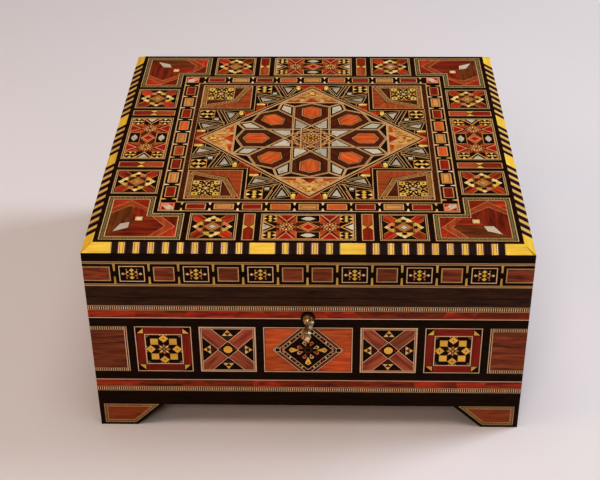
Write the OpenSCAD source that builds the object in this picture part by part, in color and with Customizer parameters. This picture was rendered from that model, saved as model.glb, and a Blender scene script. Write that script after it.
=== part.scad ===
// Hinged marquetry box with a lock and key: four bracket feet, veneered walls and a mosaic lid.
// Millimetres, +Z up, +X to the right of the front. The floor is z = 0, and the origin is under the
// middle of everything that sticks out, from the key's bow in front to the hinge knuckles behind.

/* [Box] */
// Width of the box across its front
box_w = 250; // [240:1:290]
// Depth of the box from front to back
box_d = 250; // [240:1:290]
// Height from the floor to the flat of the lid
box_h = 128; // [120:1:150]
// Height of the lid, from the seam to its flat
lid_h = 33.4; // [31:0.2:40]
// Thickness of the wall boards
board_t = 12; // [11:0.5:15]
// Thickness of the bottom board
bottom_t = 6; // [4:0.5:10]
// Thickness of the lid's top board
lid_board_t = 8; // [6:0.5:12]
// Thickness of the veneer and everything inlaid in it
veneer_t = 1; // [0.6:0.1:1.4]
// Thickness of the cloth lining
lining_t = 1.5; // [1:0.1:2.5]
// Gap between the case and the closed lid
seam_gap = 0.3; // [0.1:0.05:0.6]

/* [Feet] */
// Height of the bracket feet
foot_h = 16; // [12:1:22]
// Length of a foot along the wall it carries
foot_top = 39; // [34:1:50]
// Length of a foot on the floor
foot_toe = 22; // [20:1:30]
// Side of the glue block behind each foot
block_w = 11; // [8:1:14]

/* [Lid edge] */
// Width of the chamfer round the lid
chamfer_w = 6; // [4:0.5:7]
// Height of the chamfer round the lid
chamfer_h = 3.4; // [2.5:0.1:4.5]
// Length of the plain corner blocks of the chamfer banding
band_corner = 16.5; // [12:0.5:20]
// Length of the plain blocks between the striped runs
band_plain = 13.8; // [10:0.2:18]
// Length of the striped run in the middle of a side
band_middle = 36; // [30:0.5:50]
// Pitch of the stripes of the banding
band_pitch = 8.1; // [6:0.1:10]
// Length of one dark stripe
band_dark = 3.6; // [2.5:0.1:5]

/* [Wall marquetry] */
// Plain veneer between the seam and the top stringing
wall_margin = 5.6; // [4:0.1:8]
// Height of the dotted stringing
string_h = 3.5; // [2.5:0.1:4.5]
// Height of the red bands
band_h = 4.8; // [3:0.1:6]
// Width of the thin light lines
line_t = 0.8; // [0.6:0.1:1.2]
// Plain veneer above and below the panels
panel_margin = 5.8; // [3:0.1:8]
// Plain veneer of the apron, under the bottom stringing
apron_h = 10.4; // [6:0.1:14]
// Width of the centre panel
centre_w = 51.2; // [40:0.2:56]
// Width of the cross and star panels
panel_w = 32.6; // [28:0.2:34]
// Gap between neighbouring panels
panel_gap = 4.4; // [2:0.1:5]
// Half diagonal of the turned square in the centre panel
centre_r = 20.6; // [18:0.1:23]

/* [Lid side marquetry] */
// Plain veneer between the seam and the lower line
side_margin = 7.5; // [5:0.1:9]
// Height of the lines along the tile field
side_line = 1.7; // [1:0.1:2]
// Height of the tile field
side_field = 13.3; // [10:0.1:14]
// Length of a cell with a rosewood tile
cell_rose = 16.45; // [14:0.05:18]
// Length of a cell with a mosaic tile
cell_mosaic = 19.35; // [17:0.05:21]
// Width of the short yellow bars between the cells
bar_w = 1.1; // [0.8:0.1:1.6]

/* [Lid top marquetry] */
// Plain line between the chamfer and the border
top_margin = 2.5; // [1:0.1:4]
// Width of the border with the corner blocks and panels
border_w = 27.5; // [24:0.5:29]
// Plain wood between the figures of the border
border_gap = 3.2; // [2:0.1:4]
// Length of the star panels in the middle of each side
star_w = 53.7; // [48:0.1:54]
// Width of the hourglass bars beside them
hour_w = 6.8; // [5:0.1:8]
// Width of the tile strip, line to line
strip_w = 10.4; // [9:0.1:12]
// Height of a tile in the strip
tile_h = 6.2; // [5:0.1:8]
// Length of a tile in the strip
tile_l = 11.7; // [9:0.1:12.5]
// Side of the square blocks in the corners of the field
field_block = 34; // [28:0.5:36]
// Width of the frame of the turned square
diamond_t = 2.6; // [2:0.1:5]

/* [Hinges] */
// Distance of each hinge from the middle of the back
hinge_x = 75; // [50:1:90]
// Length of a hinge
hinge_l = 40; // [30:1:50]
// Width of a hinge leaf from the back of the box inwards
leaf_w = 9; // [7:0.5:11]
// Thickness of a hinge leaf
leaf_t = 1.5; // [1:0.1:2]
// Radius of the hinge knuckles
knuckle_r = 2.5; // [2:0.1:3.5]
// Radius of the hinge pins
hinge_pin_r = 1; // [0.8:0.1:1.3]

/* [Lock] */
// Height of the key's axis under the seam
key_drop = 13.3; // [12.6:0.1:15]
// Width of the lock case
lock_w = 44; // [40:1:56]
// Height of the lock case
lock_h = 27; // [22:1:32]
// Depth of the lock case, cap included
lock_t = 9; // [8.6:0.1:10]
// Radius of the turning barrel
barrel_r = 2.75; // [2.5:0.05:3.2]
// Distance that the barrel stands out of the front
barrel_out = 2.2; // [1:0.1:4]
// Outer radius of the collar round the barrel
collar_r = 4.1; // [3.7:0.1:4.8]
// Radius at which the barrel's pin drives the bolt
crank_r = 4.5; // [4:0.1:4.8]
// Radius of the key's shank
shank_r = 1.3; // [1.1:0.05:1.5]
// Distance that the key sticks out of the front
key_out = 20; // [17:0.5:30]
// Lean of the key's bow from upright
key_lean = 24; // [0:1:45]
// Thickness of the key's bow
bow_t = 2; // [1.5:0.1:3]

/* [Hidden] */
$fn = 48;

eps = 0.01;                             // how far a cutter passes the face it cuts
skin = veneer_t + board_t;              // whole thickness of a wall
seam_z = box_h - lid_h;                 // top of the case
lid_z = seam_z + seam_gap;              // bottom of the lid
rail_top = box_h - veneer_t - lid_board_t;
edge_z = box_h - chamfer_h;             // where the lid's sides meet the chamfer
chamfer_slope = chamfer_h / chamfer_w;
band_foot = chamfer_w - (chamfer_h - veneer_t) / chamfer_slope; // width of the banding's lower face
bottom_rise = 2;                        // the bottom board sits this far above the walls' edge
block_rise = 3;                         // and the glue blocks this far above the floor
floor_z = foot_h + bottom_rise + bottom_t;
run = 0.05;                             // radial clearance of a pin or shaft that turns
loose = 0.4;                            // clearance of the lock's sliding parts

// Heights on the walls, from the top down and from the feet up
upper_string = seam_z - wall_margin - string_h;
upper_band = upper_string - band_h;
upper_line = upper_band - line_t;
panel_top = upper_line - panel_margin;
lower_string = foot_h + apron_h;
lower_band = lower_string + string_h;
lower_line = lower_band + band_h;
panel_bottom = lower_line + line_t + panel_margin;
panel_h = panel_top - panel_bottom;
panel_mid = (panel_top + panel_bottom) / 2;
cross_u = centre_w / 2 + panel_gap + panel_w / 2;  // centre of a cross panel
star_u = cross_u + panel_w + panel_gap;            // centre of a star panel
end_u = star_u + panel_w / 2 + panel_gap;          // start of the end panels

// Heights on the lid's sides
side_low = lid_z + side_margin;
side_mid = side_low + side_line + side_field / 2;
side_top = side_low + side_line + side_field;
side_tile_h = side_field - 3.5;
pair_l = cell_rose + cell_mosaic;

// Distances inwards from the box's outline on top of the lid
in_border = chamfer_w + top_margin;
in_border_end = in_border + border_w;
in_strip = in_border_end + 2.3;
in_strip_mid = in_strip + strip_w / 2;
in_field = in_strip + strip_w + 2.55;
field_x = box_w / 2 - in_field;
field_y = box_d / 2 - in_field;
diamond_r = min(field_x, field_y) - 1.75;          // half diagonal of the turned square
octagon_r = diamond_r / sqrt(2) - diamond_t;       // inner radius of the medallion
strap_c = octagon_r * tan(22.5) * 0.577;           // strap lines pass this far from the centre
strap_t = octagon_r / 30;                          // width of a strap
rosette_r = strap_c * 1.15;

// Hinges
hinge_y = box_d / 2 + knuckle_r + 0.1;
hinge_z = seam_z + seam_gap / 2;
knuckles = 5;
knuckle_gap = 0.3;
screw_r = 1.2;
screw_head = 2.3;
screw_l = 9;
leaf_screws = [-hinge_l / 3, 0, hinge_l / 3];

// Lock, from the front of the wall board inwards
wood_front = -box_d / 2 + veneer_t;                // face of the front board
wood_back = wood_front + board_t;                  // its inner face
lock_y = wood_back - lock_t;                       // front of the lock case
plate_t = 1;                                       // thickness of the lock case's walls
key_z = seam_z - key_drop;
collar_out = 0.6;                                  // how far the collar stands out
cam_t = 1.2;
cam_y = lock_y + plate_t + 0.2;
bolt_t = 2;
bolt_y = cam_y + cam_t + 0.8;
bolt_h = 10;
crank_angle = 45;                                  // the crank starts this far before upright
throw = 2 * crank_r * sin(crank_angle);            // travel of the bolt
drive_pin_r = 1;
post_r = 1.2;
post_x = -lock_w / 4 + 1.5;
post_rise = 3;                                     // the posts stand this far over and under the axis
link_t = 3;
link_x = crank_r + 6;                              // near side of the link
link_leg = 1.1;
tongue_h = 5;
tongue_z = key_z + 0.5;
link_low = tongue_z - 3;                           // underside of the link
ear_w = 7;                                         // screw ears of the lock's cap
bit_h = barrel_r - shank_r - 0.6;
bit_t = 1;
key_in = cam_y + cam_t - 0.3;                      // tip of the key
bow_r = 3.3;                                       // radius of the bow's lobes

// The origin is half way between the key's bow and the hinge knuckles
shift_y = (key_out - (hinge_y + knuckle_r - box_d / 2)) / 2;

c_wenge = [0.16, 0.1, 0.07];
c_line = [0.72, 0.6, 0.44];
c_red = [0.6, 0.17, 0.09];
c_rose = [0.48, 0.23, 0.15];
c_orange = [0.82, 0.38, 0.14];
c_yellow = [0.9, 0.76, 0.3];
c_pearl = [0.82, 0.8, 0.74];
c_walnut = [0.42, 0.2, 0.12];
c_maroon = [0.28, 0.11, 0.07];
c_board = [0.66, 0.47, 0.29];
c_brass = [0.72, 0.6, 0.32];
c_iron = [0.16, 0.13, 0.11];
c_velvet = [0.36, 0.05, 0.08];

// ---- Plane figures ----

function unit(v) = v / norm(v);
function left_of(v) = [-v.y, v.x];

// The outline p, which runs anticlockwise, moved inwards by d
function inset(p, d) = [for (i = [0:len(p) - 1])
    let (before = p[(i + len(p) - 1) % len(p)], here = p[i], after = p[(i + 1) % len(p)],
         n1 = left_of(unit(here - before)), n2 = left_of(unit(after - here)))
    here + d * (n1 + n2) / (1 + n1 * n2)];
function rect(w, h) = [[-w / 2, -h / 2], [w / 2, -h / 2], [w / 2, h / 2], [-w / 2, h / 2]];
function rhomb(a, b) = [[a, 0], [0, b], [-a, 0], [0, -b]];
function star(n, r1, r2) = [for (i = [0:2 * n - 1])
    (i % 2 == 0 ? r1 : r2) * [cos(180 * i / n), sin(180 * i / n)]];
// A regular polygon of n sides that lie r from its centre, with one side facing up
function ngon(n, r) = [for (i = [0:n - 1])
    r / cos(180 / n) * [cos(360 * (i + 0.5) / n + 90), sin(360 * (i + 0.5) / n + 90)]];
// A diagonal arm of half width b in a rectangle of half sides x and y
function arm(x, y, b) = let (c = b * sqrt(2))
    [[-x, -y], [c - x, -y], [x, y - c], [x, y], [x - c, y], [-x, c - y]];

module ring(p, t) difference() {
    polygon(p);
    polygon(inset(p, t));
}
module box2(u1, v1, u2, v2) translate([u1, v1]) square([u2 - u1, v2 - v1]);
module both_ways() for (m = [0, 1]) mirror([m, 0]) children();

// ---- Places ----

module placed() translate([0, shift_y, 0]) children();

// The four sides in turn: 0 front, 1 right, 2 back, 3 left. $half is half the side's length,
// and $dist is its distance from the middle of the box.
module side(k) {
    $half = (k % 2 == 0 ? box_w : box_d) / 2;
    $dist = (k % 2 == 0 ? box_d : box_w) / 2;
    rotate(90 * k) children();
}
// Front and back veneers run the whole width, and the side veneers fit between them
function veneer_half(k) = k % 2 == 0 ? box_w / 2 : box_d / 2 - veneer_t;

// Raises a figure drawn on the outside of side k, with x along the side and y upwards
module on_side(k) {
    $edge = veneer_half(k);
    side(k) translate([0, veneer_t - $dist, 0]) rotate([90, 0, 0])
        linear_extrude(veneer_t) children();
}
module on_walls() for (k = [0:3]) on_side(k) children();
module on_lid() translate([0, 0, box_h - veneer_t]) linear_extrude(veneer_t) children();

// The corners of a rectangle that lies d inside the box's outline, with x and y running inwards
module corner(k, d) translate([(k == 0 || k == 3 ? -1 : 1) * (box_w / 2 - d),
        (k < 2 ? -1 : 1) * (box_d / 2 - d)]) rotate(90 * k) children();

// ---- Case ----

module wall_board(k, low, high) {
    half = k % 2 == 0 ? box_w / 2 - veneer_t : box_d / 2 - skin;
    side(k) translate([-half, veneer_t - $dist, low]) cube([2 * half, board_t, high - low]);
}
module case_front() color(c_board) difference() {
    wall_board(0, foot_h, seam_z);
    translate([-lock_w / 2, lock_y, seam_z - lock_h]) cube([lock_w, lock_t + eps, lock_h + eps]);
    cap_plate(eps);
    key_hole(collar_r);
    cap_screws();
}
module case_back() color(c_board) difference() {
    wall_board(2, foot_h, seam_z);
    leaves(-1, eps);
    leaf_screw_set(-1);
}
module case_left() color(c_board) wall_board(3, foot_h, seam_z);
module case_right() color(c_board) wall_board(1, foot_h, seam_z);
module case_bottom() color(c_board) translate([0, 0, foot_h + bottom_rise])
    linear_extrude(bottom_t) polygon(rect(box_w - 2 * skin, box_d - 2 * skin));

// Outline of a foot's plate, from the corner inwards
function foot_outline() = [[0, 0], [foot_toe, 0], [foot_top, foot_h], [0, foot_h]];
function foot_inlay(d) = inset([[2.75, 1.6], [foot_toe - 1, 1.6],
    [foot_top - 3, foot_h], [2.75, foot_h]], d);

// One plate of the foot at corner k, mitred where it meets the other plate
module foot_plate(k) corner(k, 0) difference() {
    translate([0, skin, 0]) rotate([90, 0, 0]) linear_extrude(skin) polygon(foot_outline());
    translate([0, veneer_t, 0]) rotate([90, 0, 0]) linear_extrude(veneer_t + eps)
        polygon(foot_inlay(0));
    rotate(45) translate([-skin, 0, -eps]) cube([3 * skin, 3 * skin, foot_h + 2 * eps]);
}
module foot(k) color(c_wenge) {
    foot_plate(k);
    corner_mirror(k) foot_plate(k);
}
// Swaps the two walls that meet at corner k
module corner_mirror(k) corner(k, 0) mirror([1, -1, 0]) rotate(-90 * k)
    translate([(k == 0 || k == 3 ? 1 : -1) * box_w / 2, (k < 2 ? 1 : -1) * box_d / 2]) children();
module foot_front_left() foot(0);
module foot_front_right() foot(1);
module foot_back_right() foot(2);
module foot_back_left() foot(3);
module foot_blocks() color(c_board) for (k = [0:3]) translate([0, 0, block_rise]) corner(k, skin)
    linear_extrude(foot_h + bottom_rise - block_rise) polygon([[0, 0], [block_w, 0], [0, block_w]]);

// A figure in the pockets of the feet
module on_feet() for (k = [0:3], swap = [0, 1]) corner(k, 0) mirror([swap, -swap, 0])
    translate([0, veneer_t, 0]) rotate([90, 0, 0]) linear_extrude(veneer_t) children();

// ---- Wall marquetry. Each figure draws one kind of wood, named by what ----

module wall_strip(v, h) box2(-$edge, v, $edge, v + h);
module wall_outline() {
    wall_strip(upper_string, string_h);
    wall_strip(upper_band, band_h);
    wall_strip(upper_line, line_t);
    wall_strip(lower_string, string_h);
    wall_strip(lower_band, band_h);
    wall_strip(lower_line, line_t);
    translate([0, panel_mid]) polygon(rect(centre_w, panel_h));
    both_ways() {
        translate([cross_u, panel_mid]) polygon(rect(panel_w, panel_h));
        translate([star_u, panel_mid]) polygon(rect(panel_w, panel_h));
        box2(end_u, panel_bottom, $edge, panel_top);
    }
}
module wall_veneer(k) color(c_wenge) difference() {
    on_side(k) difference() {
        box2(-$edge, foot_h, $edge, seam_z);
        wall_outline();
    }
    if (k == 0) key_hole(collar_r);
    if (k == 2) leaves(-1, eps);
}
module front_veneer() wall_veneer(0);
module right_veneer() wall_veneer(1);
module back_veneer() wall_veneer(2);
module left_veneer() wall_veneer(3);

// Cross panel: framed, with two crossing rosewood arms round a yellow octagon
cross_x = panel_w / 2 - 2.4;
cross_y = panel_h / 2 - 2.4;
cross_b = 3.4;
cross_r = 5;
module crossed_arms(x, y, b) {
    polygon(arm(x, y, b));
    mirror([1, 0]) polygon(arm(x, y, b));
}
module cross_panel(what) {
    if (what == "frame") ring(rect(panel_w, panel_h), line_t);
    if (what == "arms") difference() {
        crossed_arms(cross_x, cross_y, cross_b);
        polygon(ngon(8, cross_r + 1));
    }
    if (what == "yellow") {
        polygon(ngon(8, cross_r));
        for (k = [0:3]) rotate(90 * k) polygon(cross_triangle(k % 2 == 0 ? cross_y : cross_x));
    }
    if (what == "field") difference() {
        polygon(rect(panel_w - 2 * line_t, panel_h - 2 * line_t));
        cross_panel("arms");
        cross_panel("yellow");
    }
}
function cross_triangle(far) = [[-2.6, far - 1], [0, far - 4.6], [2.6, far - 1]];

// Star panel: a red frame round a dark field with eight yellow pieces and a small star
star_band = 4.8;
star_x = panel_w - 2 * star_band;
star_y = panel_h - 2 * star_band;
module star_panel(what) {
    if (what == "frame") {
        ring(rect(panel_w, panel_h), line_t);
        ring(rect(star_x, star_y), line_t);
    }
    if (what == "red") difference() {
        polygon(rect(panel_w - 2 * line_t, panel_h - 2 * line_t));
        polygon(rect(star_x, star_y));
        star_corners();
    }
    if (what == "yellow") {
        for (sx = [-1, 1], sy = [-1, 1]) translate([sx * star_x / 4, sy * star_y / 4])
            polygon(rect(star_x / 5, star_y / 5));
        for (s = [-1, 1]) {
            translate([s * star_x / 3, 0]) polygon(rhomb(star_x / 8, star_x / 8));
            translate([0, s * star_y / 3]) polygon(rhomb(star_y / 8, star_y / 8));
        }
    }
    if (what == "light") polygon(star(8, star_x * 0.13, star_x * 0.07));
    if (what == "field") {
        difference() {
            polygon(rect(star_x - 2 * line_t, star_y - 2 * line_t));
            star_panel("yellow");
            star_panel("light");
        }
        star_corners();
    }
}
module star_corners() for (sx = [-1, 1], sy = [-1, 1])
    translate([sx * (panel_w + star_x - 2 * line_t) / 4, sy * (panel_h + star_y - 2 * line_t) / 4])
        polygon(rect(star_band - line_t, star_band - line_t));

// Centre panel: an orange field with a turned square that the panel's edges cut off
module clipped(r) intersection() {
    polygon(rhomb(r, r));
    polygon(rect(centre_w - 2 * line_t, panel_h - 2 * line_t));
}
module centre_panel(what) {
    if (what == "frame") {
        ring(rect(centre_w, panel_h), line_t);
        difference() { clipped(centre_r); clipped(centre_r - 1.1); }
        difference() { clipped(centre_r - 4); clipped(centre_r - 5.1); }
    }
    if (what == "orange") difference() {
        polygon(rect(centre_w - 2 * line_t, panel_h - 2 * line_t));
        polygon(rhomb(centre_r, centre_r));
    }
    if (what == "red") difference() { clipped(centre_r - 1.1); clipped(centre_r - 4); }
    if (what == "yellow") for (k = [0:3]) rotate(90 * k)
        polygon([[-3.2, 7.4], [0, 4.2], [3.2, 7.4], [0, 10.6]]);
    if (what == "light") polygon(star(8, 3.9, 2.4));
    if (what == "field") difference() {
        clipped(centre_r - 5.1);
        centre_panel("yellow");
        centre_panel("light");
    }
}
module at_panels() translate([0, panel_mid]) children();
module cross_panels(what) at_panels() both_ways() translate([cross_u, 0]) cross_panel(what);
module star_panels(what) at_panels() both_ways() translate([star_u, 0]) star_panel(what);

module red_bands() color(c_red) difference() {
    on_walls() {
        wall_strip(upper_band, band_h);
        wall_strip(lower_band, band_h);
        star_panels("red");
        at_panels() centre_panel("red");
    }
    key_hole(collar_r);
}
module dotted_stringing() color(c_line) {
    on_walls() {
        wall_strip(upper_string, string_h);
        wall_strip(lower_string, string_h);
    }
    on_feet() difference() {
        polygon(foot_inlay(0));
        polygon(foot_inlay(1.6));
    }
}
module panel_frames() color(c_line) difference() {
    on_walls() {
        wall_strip(upper_line, line_t);
        wall_strip(lower_line, line_t);
        cross_panels("frame");
        star_panels("frame");
        star_panels("light");
        at_panels() {
            centre_panel("frame");
            centre_panel("light");
        }
        both_ways() {
            box2(end_u, panel_bottom, $edge, panel_bottom + line_t);
            box2(end_u, panel_top - line_t, $edge, panel_top);
            box2(end_u, panel_bottom, end_u + line_t, panel_top);
        }
    }
    key_hole(collar_r);
}
module panel_rosewood() color(c_rose) on_walls() {
    cross_panels("arms");
    both_ways() box2(end_u + line_t, panel_bottom + line_t, $edge, panel_top - line_t);
}
module orange_panels() color(c_orange) {
    on_walls() at_panels() centre_panel("orange");
    on_feet() polygon(foot_inlay(1.6));
}
module panel_yellow_inlays() color(c_yellow) on_walls() {
    cross_panels("yellow");
    star_panels("yellow");
    at_panels() centre_panel("yellow");
}
module panel_fields() color(c_wenge) on_walls() {
    cross_panels("field");
    star_panels("field");
    at_panels() centre_panel("field");
}

// ---- Lining ----

module floor_lining() color(c_velvet) translate([0, 0, floor_z])
    linear_extrude(lining_t) polygon(rect(box_w - 2 * skin, box_d - 2 * skin));
module wall_lining() color(c_velvet) difference() {
    translate([0, 0, floor_z + lining_t]) linear_extrude(seam_z - floor_z - lining_t - 1)
        ring(rect(box_w - 2 * skin, box_d - 2 * skin), lining_t);
    translate([-lock_w / 2 - ear_w, wood_back - eps, seam_z - lock_h])
        cube([lock_w + 2 * ear_w, lining_t + 2 * eps, lock_h]);
}
module lid_lining() color(c_velvet) translate([0, 0, lid_z + 1]) difference() {
    linear_extrude(rail_top - lid_z - 1) polygon(rect(box_w - 2 * skin, box_d - 2 * skin));
    translate([0, 0, -eps]) linear_extrude(rail_top - lid_z - 1 - lining_t + eps)
        polygon(inset(rect(box_w - 2 * skin, box_d - 2 * skin), lining_t));
}

// ---- Lock and key ----

// A hole of radius r through the wall on the key's axis
module key_hole(r) translate([0, -box_d / 2 - 2, key_z]) rotate([-90, 0, 0])
    cylinder(r = r, h = lock_y + box_d / 2 + 2);
module along_y(y1, y2, r) translate([0, y1, key_z]) rotate([-90, 0, 0]) cylinder(r = r, h = y2 - y1);

module cap_plate(grow) translate([-lock_w / 2 - ear_w, wood_back - plate_t, seam_z - lock_h])
    cube([lock_w + 2 * ear_w, plate_t + grow, lock_h + grow]);
// Countersunk screws through the ears of the cap, into the board
module cap_screws() for (sx = [-1, 1], sz = [-1, 1])
    translate([sx * (lock_w + ear_w) / 2, wood_back, seam_z - lock_h / 2 + sz * lock_h / 3.5])
        rotate([90, 0, 0]) screw(plate_t, lock_t - 2);
// A countersunk screw with its head's face at z = 0 and its shank running up
module screw(head, length) {
    cylinder(r1 = screw_head, r2 = screw_r, h = head);
    translate([0, 0, head]) cylinder(r = screw_r, h = length - head);
}
module lock_case() color(c_brass) {
    difference() {
        translate([-lock_w / 2, lock_y, seam_z - lock_h]) cube([lock_w, lock_t - plate_t, lock_h]);
        translate([-lock_w / 2 + plate_t, lock_y + plate_t, seam_z - lock_h + plate_t])
            cube([lock_w - 2 * plate_t, lock_t, lock_h - 2 * plate_t]);
        along_y(lock_y - 1, lock_y + plate_t + 1, barrel_r + run);
        translate([link_x - loose, lock_y + plate_t, seam_z - plate_t - eps])
            cube([link_t + 2 * loose, lock_t, plate_t + 2 * eps]);
    }
    for (s = [-1, 1]) translate([post_x, 0, s * post_rise])
        along_y(lock_y + plate_t, wood_back - plate_t, post_r);
}
module lock_cap() color(c_brass) difference() {
    cap_plate(0);
    cap_screws();
}
module keyhole_collar() color(c_iron) difference() {
    along_y(-box_d / 2 - collar_out, lock_y, collar_r);
    along_y(-box_d / 2 - collar_out - 1, lock_y + 1, barrel_r + run);
}
// The barrel turns with the key, and its cam carries the pin that drives the bolt
module lock_barrel() color(c_brass) difference() {
    union() {
        along_y(-box_d / 2 - barrel_out, cam_y, barrel_r);
        along_y(cam_y, cam_y + cam_t, crank_r + drive_pin_r + 0.5);
        translate([-crank_r * sin(crank_angle), 0, crank_r * cos(crank_angle)])
            along_y(cam_y + cam_t, bolt_y + bolt_t + 1, drive_pin_r);
    }
    along_y(-box_d / 2 - barrel_out - 1, key_in + 0.2, shank_r + run);
    key_bit(-box_d / 2 - barrel_out - 1, key_in - 0.4, 0.1);
}
// The bit stands on the shank, and leans with the bow
module key_bit(y1, y2, grow) translate([0, 0, key_z]) rotate([0, key_lean, 0])
    translate([-bit_t / 2 - grow, y1, 0]) cube([bit_t + 2 * grow, y2 - y1, shank_r + bit_h + grow]);
module lock_bolt() color(c_brass) difference() {
    union() {
        translate([-lock_w / 2 + 3, bolt_y, key_z - bolt_h / 2 + 1.5])
            cube([lock_w / 2 + link_x - throw - 3.6, bolt_t, bolt_h]);
        translate([0, bolt_y, tongue_z]) cube([link_x - 0.6, bolt_t, tongue_h]);
    }
    // Upright slot for the barrel's pin, and level slots for the guide posts
    bolt_slot(-throw / 2, crank_r * cos(crank_angle), 0, crank_r * (1 - cos(crank_angle)),
        drive_pin_r + loose);
    for (s = [-1, 1]) bolt_slot(post_x - throw, s * post_rise, throw, 0, post_r + 0.15);
}
// A slot with round ends through the bolt. It starts at (x, z) from the key's axis, and is as
// long as dx, or as high as dz
module bolt_slot(x, z, dx, dz, r) {
    for (end = [0, 1]) translate([x + end * dx, 0, z + end * dz])
        along_y(bolt_y - 1, bolt_y + bolt_t + 1, r);
    w = dx > 0 ? 0 : r;
    h = dx > 0 ? r : 0;
    translate([x - w, bolt_y - 1, key_z + z - h]) cube([dx + 2 * w, bolt_t + 2, dz + 2 * h]);
}
// The key: a shank with a bit, a collar, and a bow of three pierced lobes
module key() color(c_brass) {
    front = -box_d / 2;
    neck = front - barrel_out - 0.2;
    bow_y = front - key_out + 2 * bow_r;
    along_y(bow_y - 1, key_in, shank_r);
    along_y(neck - 2.2, neck, shank_r + 0.9);
    key_bit(neck + 4, key_in - 0.6, 0);
    translate([0, bow_y, key_z]) rotate([0, key_lean, 0]) translate([-bow_t / 2, 0, 0])
        rotate([90, 0, 90]) linear_extrude(bow_t) difference() {
            union() {
                for (s = [-1, 1]) translate([2.4, s * 3.6]) circle(r = bow_r);
                translate([-bow_r, 0]) circle(r = bow_r);
                translate([-1, -1.6]) square([7, 3.2]);
            }
            for (s = [-1, 1]) translate([2.4, s * 4]) circle(r = 1.5);
            translate([-bow_r, 0]) circle(r = 1.6);
        }
}
// The link: a plate under the lid with a loop that the bolt's tongue enters
module lock_link() color(c_brass) difference() {
    union() {
        link_plate(0);
        translate([link_x, bolt_y - 0.5 - link_leg, link_low])
            cube([link_t, bolt_t + 1 + 2 * link_leg, lid_z - link_low + eps]);
    }
    translate([link_x - 1, bolt_y - 0.5, link_low + 2])
        cube([link_t + 2, bolt_t + 1, lid_z - link_low - 2]);
    link_screws();
}
module link_plate(grow) translate([-lock_w / 2, lock_y, lid_z - grow])
    cube([lock_w, lock_t, leaf_t + grow]);
module link_screws() for (sx = [-1, 1]) translate([sx * (lock_w / 2 - 4), lock_y + lock_t / 2, lid_z])
    screw(1.2, screw_l);

// ---- Hinges ----

// The leaf of the case (s = -1) or the lid (s = 1), or its recess, which opens through the edge
module leaves(s, grow) for (m = [-1, 1])
    translate([m * hinge_x - hinge_l / 2, box_d / 2 - leaf_w, s < 0 ? seam_z - leaf_t : lid_z - grow])
        cube([hinge_l, leaf_w + grow, leaf_t + grow]);
module leaf_screw_set(s) for (m = [-1, 1], u = leaf_screws)
    translate([m * hinge_x + u, box_d / 2 - leaf_w / 2 - 1, s < 0 ? seam_z : lid_z])
        rotate([s < 0 ? 180 : 0, 0, 0]) screw(1.2, screw_l);
// Knuckles of one leaf: the case has the first, third and fifth, and the lid the others
module hinge_half(s) color(c_brass) difference() {
    pitch = hinge_l / knuckles;
    union() {
        leaves(s, 0);
        for (m = [-1, 1], i = [s < 0 ? 0 : 1:2:knuckles - 1])
            translate([m * hinge_x - hinge_l / 2 + i * pitch + knuckle_gap / 2, 0, 0]) {
                length = pitch - knuckle_gap;
                translate([0, hinge_y, hinge_z]) rotate([0, 90, 0]) cylinder(r = knuckle_r, h = length);
                translate([0, box_d / 2 - 1, s < 0 ? seam_z - leaf_t : lid_z])
                    cube([length, hinge_y - box_d / 2 + 1, leaf_t]);
            }
    }
    for (m = [-1, 1]) translate([m * hinge_x - hinge_l / 2 - 1, hinge_y, hinge_z]) rotate([0, 90, 0])
        cylinder(r = hinge_pin_r + run, h = hinge_l + 2);
    leaf_screw_set(s);
}
module hinge_case_leaves() hinge_half(-1);
module hinge_lid_leaves() hinge_half(1);
module hinge_pins() color(c_brass) for (m = [-1, 1])
    translate([m * hinge_x - hinge_l / 2, hinge_y, hinge_z]) rotate([0, 90, 0])
        cylinder(r = hinge_pin_r, h = hinge_l);
module case_screws() color(c_brass) {
    cap_screws();
    leaf_screw_set(-1);
}
module lid_screws() color(c_brass) {
    link_screws();
    leaf_screw_set(1);
}

// ---- Lid ----

module lid_front_rail() color(c_board) difference() {
    wall_board(0, lid_z, rail_top);
    link_plate(eps);
    link_screws();
}
module lid_back_rail() color(c_board) difference() {
    wall_board(2, lid_z, rail_top);
    leaves(1, eps);
    leaf_screw_set(1);
}
module lid_left_rail() color(c_board) wall_board(3, lid_z, rail_top);
module lid_right_rail() color(c_board) wall_board(1, lid_z, rail_top);

// Section of the lid board across a side whose face is d from the middle
function board_section(d) = [[-d + veneer_t, rail_top], [d - veneer_t, rail_top],
    [d - veneer_t, edge_z], [d - band_foot, edge_z], [d - chamfer_w, box_h - veneer_t],
    [chamfer_w - d, box_h - veneer_t], [band_foot - d, edge_z], [veneer_t - d, edge_z]];
module lid_board() color(c_board) intersection() {
    translate([-box_w / 2, 0, 0]) rotate([90, 0, 90]) linear_extrude(box_w)
        polygon(board_section(box_d / 2));
    translate([0, box_d / 2, 0]) rotate([90, 0, 0]) linear_extrude(box_d)
        polygon(board_section(box_w / 2));
}

// A stretch of the chamfer banding on side k, from u1 to u2
module banding(k, u1, u2) side(k) translate([u1, -$dist, 0]) rotate([90, 0, 90])
    linear_extrude(u2 - u1) polygon([[0, edge_z], [band_foot, edge_z],
        [chamfer_w, box_h - veneer_t], [chamfer_w, box_h]]);
module banding_corner(k, m) intersection() {
    banding(k, m < 0 ? -side_half(k) : side_half(k) - band_corner,
        m < 0 ? band_corner - side_half(k) : side_half(k));
    side(k) mirror([m < 0 ? 0 : 1, 0]) translate([-$half, -$dist, edge_z - 1]) linear_extrude(chamfer_h + 2)
        polygon([[0, 0], [band_corner, 0], [band_corner, chamfer_w + 1], [chamfer_w + 1, chamfer_w + 1]]);
}
function side_half(k) = (k % 2 == 0 ? box_w : box_d) / 2;
// Start and end of the two kinds of striped run, on the positive half of a side
function long_run(k) = [band_middle / 2 + band_plain, side_half(k) - band_corner];
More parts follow.
